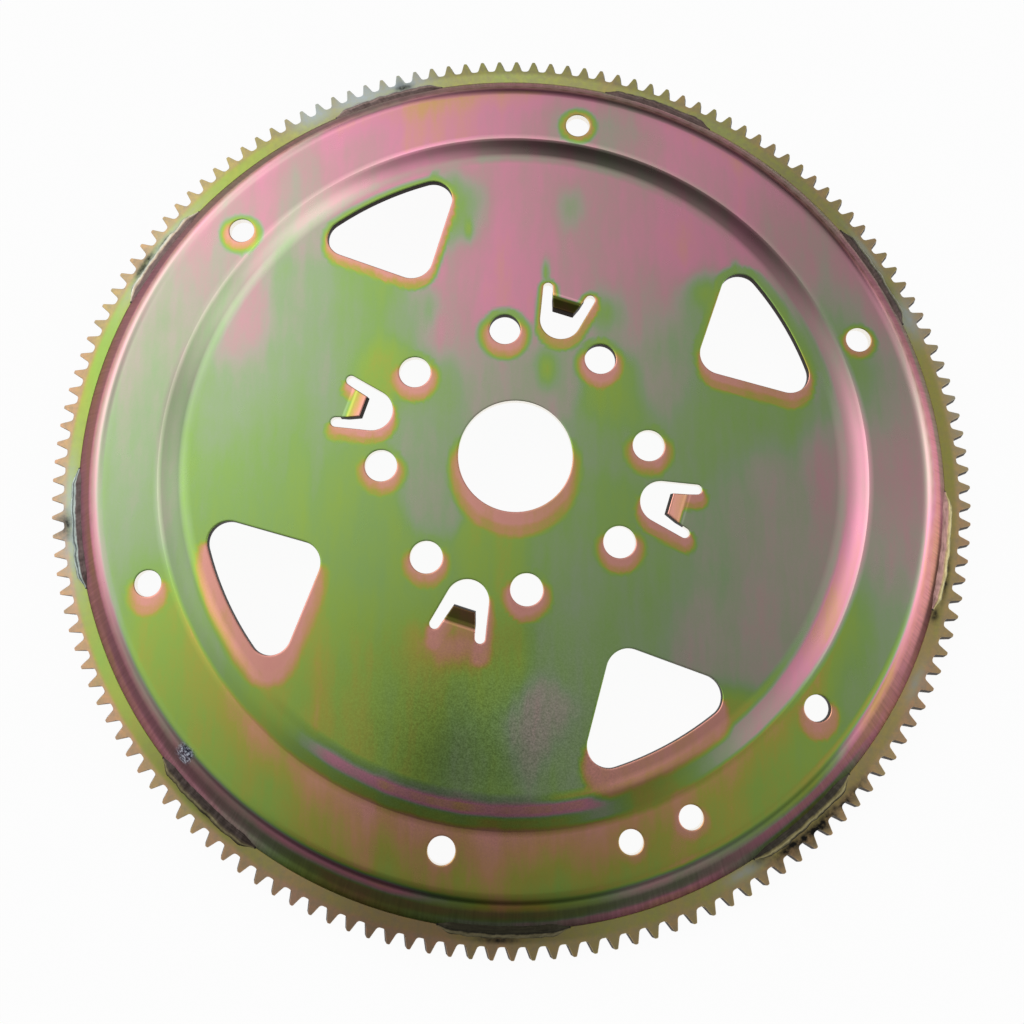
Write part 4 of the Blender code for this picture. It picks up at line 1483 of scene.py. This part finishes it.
def bead_finish(number):
    """A bead's bands of colour, partly painted highlights and shade, wandering along it, with long streaks and
    dark ends.
    """
    tree = Finish("bead_%d" % (number + 1))
    waves = tree.noise(tree.round_coordinates(*BEAD_WAVE_STRETCH), *LINE_NOISE)
    across = tree.maths("ADD", tree.value("side"), tree.swing(waves, BEAD_WANDER))
    shown = tree.ramp(across, list(zip(BEAD_BANDS, BEAD_LOOKS[number])))
    streaks = tree.noise(tree.round_coordinates(*BEAD_STREAK_STRETCH), *BEAD_STREAK_NOISE)
    level = tree.maths("ADD", tree.swing(streaks, BEAD_STREAKS), 1.0)
    shown = tree.dimmed(shown, tree.maths("MAXIMUM", level, BEAD_LEAST))
    patches = tree.noise(tree.coordinates(), *BEAD_PATCH_NOISE)
    toe = tree.maths("ADD", tree.value("toe"), tree.swing(patches, 1.0))
    shown = tree.blend(tree.swing(toe, BEAD_DARK_EDGE, clamp=True), shown, BEAD_DARK)
    return tree.metal(shown, 0.6, BEAD_ROUGHNESS, BEAD_BUMP)


def direction(azimuth, elevation):
    """Unit vector for an azimuth and an elevation in degrees in the view-up frame."""
    turn = math.radians(azimuth) - VIEW_TURN
    rise = math.radians(elevation)
    return (math.cos(rise) * math.cos(turn), math.cos(rise) * math.sin(turn), math.sin(rise))


def light_sky():
    """A pale sky with soft bright and soft dark sides."""
    sky = bpy.data.worlds.new("studio")
    bpy.context.scene.world = sky
    tree = Tree(sky)
    unit = tree.vector("NORMALIZE", tree.add("TexCoord").outputs["Generated"])

    def lobe(azimuth, elevation, sharpness, strength):
        facing = tree.vector("DOT_PRODUCT", unit, direction(azimuth, elevation))
        fall = tree.product(tree.maths("SUBTRACT", facing, 1.0), sharpness)
        return tree.product(tree.maths("EXPONENT", fall), strength)

    level = SKY_BASE
    for side in SKY_LOBES:
        level = tree.maths("ADD", level, lobe(*side))
    for side in SKY_SHADES:
        level = tree.product(level, tree.maths("SUBTRACT", 1.0, lobe(*side)))
    light = tree.add("Background", {"Color": WHITE, "Strength": level})
    tree.add("OutputWorld", {"Surface": light.outputs[0]})


def lay_floor():
    """A white floor that keeps a faint shadow of the part."""
    mesh = bpy.data.meshes.new("studio_floor")
    half = FLOOR_SIZE / 2
    corners = ((-half, -half), (half, -half), (half, half), (-half, half))
    mesh.from_pydata([(x, y, 0.0) for x, y in corners], [], [(0, 1, 2, 3)])
    floor = placed("studio_floor", mesh)
    tree = Finish("studio_floor")
    path = tree.add("LightPath")
    seen = tree.maths("MAXIMUM", path.outputs["Is Camera Ray"], path.outputs["Is Glossy Ray"])
    seen = tree.maths("MAXIMUM", seen, path.outputs["Is Transmission Ray"])
    paint = tree.add("BsdfDiffuse", {"Color": FLOOR_PAINT})
    glow = tree.add("Emission", {"Color": WHITE, "Strength": 1.0})
    tree.surface(tree.add("MixShader", {
        0: tree.product(seen, FLOOR_GLOW), 1: paint.outputs[0], 2: glow.outputs[0]}))
    mesh.materials.append(tree.material)


def stand_camera():
    """The camera above the part, with the view-up frame's Y axis up in the picture."""
    lens = bpy.data.cameras.new("main_view")
    lens.lens = CAMERA_LENS
    lens.sensor_width = CAMERA_SENSOR
    lens.clip_start = CAMERA_CLIP
    camera = placed("main_view", lens)
    ahead = (CAMERA_AIM - CAMERA_PLACE).normalized()
    across = ahead.cross(Vector((math.sin(VIEW_TURN), math.cos(VIEW_TURN), 0.0))).normalized()
    turn = Matrix((across, across.cross(ahead), -ahead)).transposed().to_4x4()
    camera.matrix_world = Matrix.Translation(CAMERA_PLACE) @ turn
    bpy.context.scene.camera = camera


def main():
    """Build the pieces and stage them."""
    disc = make_disc()
    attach(disc, "root")
    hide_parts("disc")
    gear = make_ring_gear()
    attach(gear, "root")
    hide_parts("ring_gear")
    for number in range(WELDS):
        bead = make_weld(number)
        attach(bead, "root")
        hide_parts("rim_weld_%d" % (number + 1))
    light_sky()
    lay_floor()
    stand_camera()
    bpy.context.scene.view_settings.view_transform = "Standard"


main()
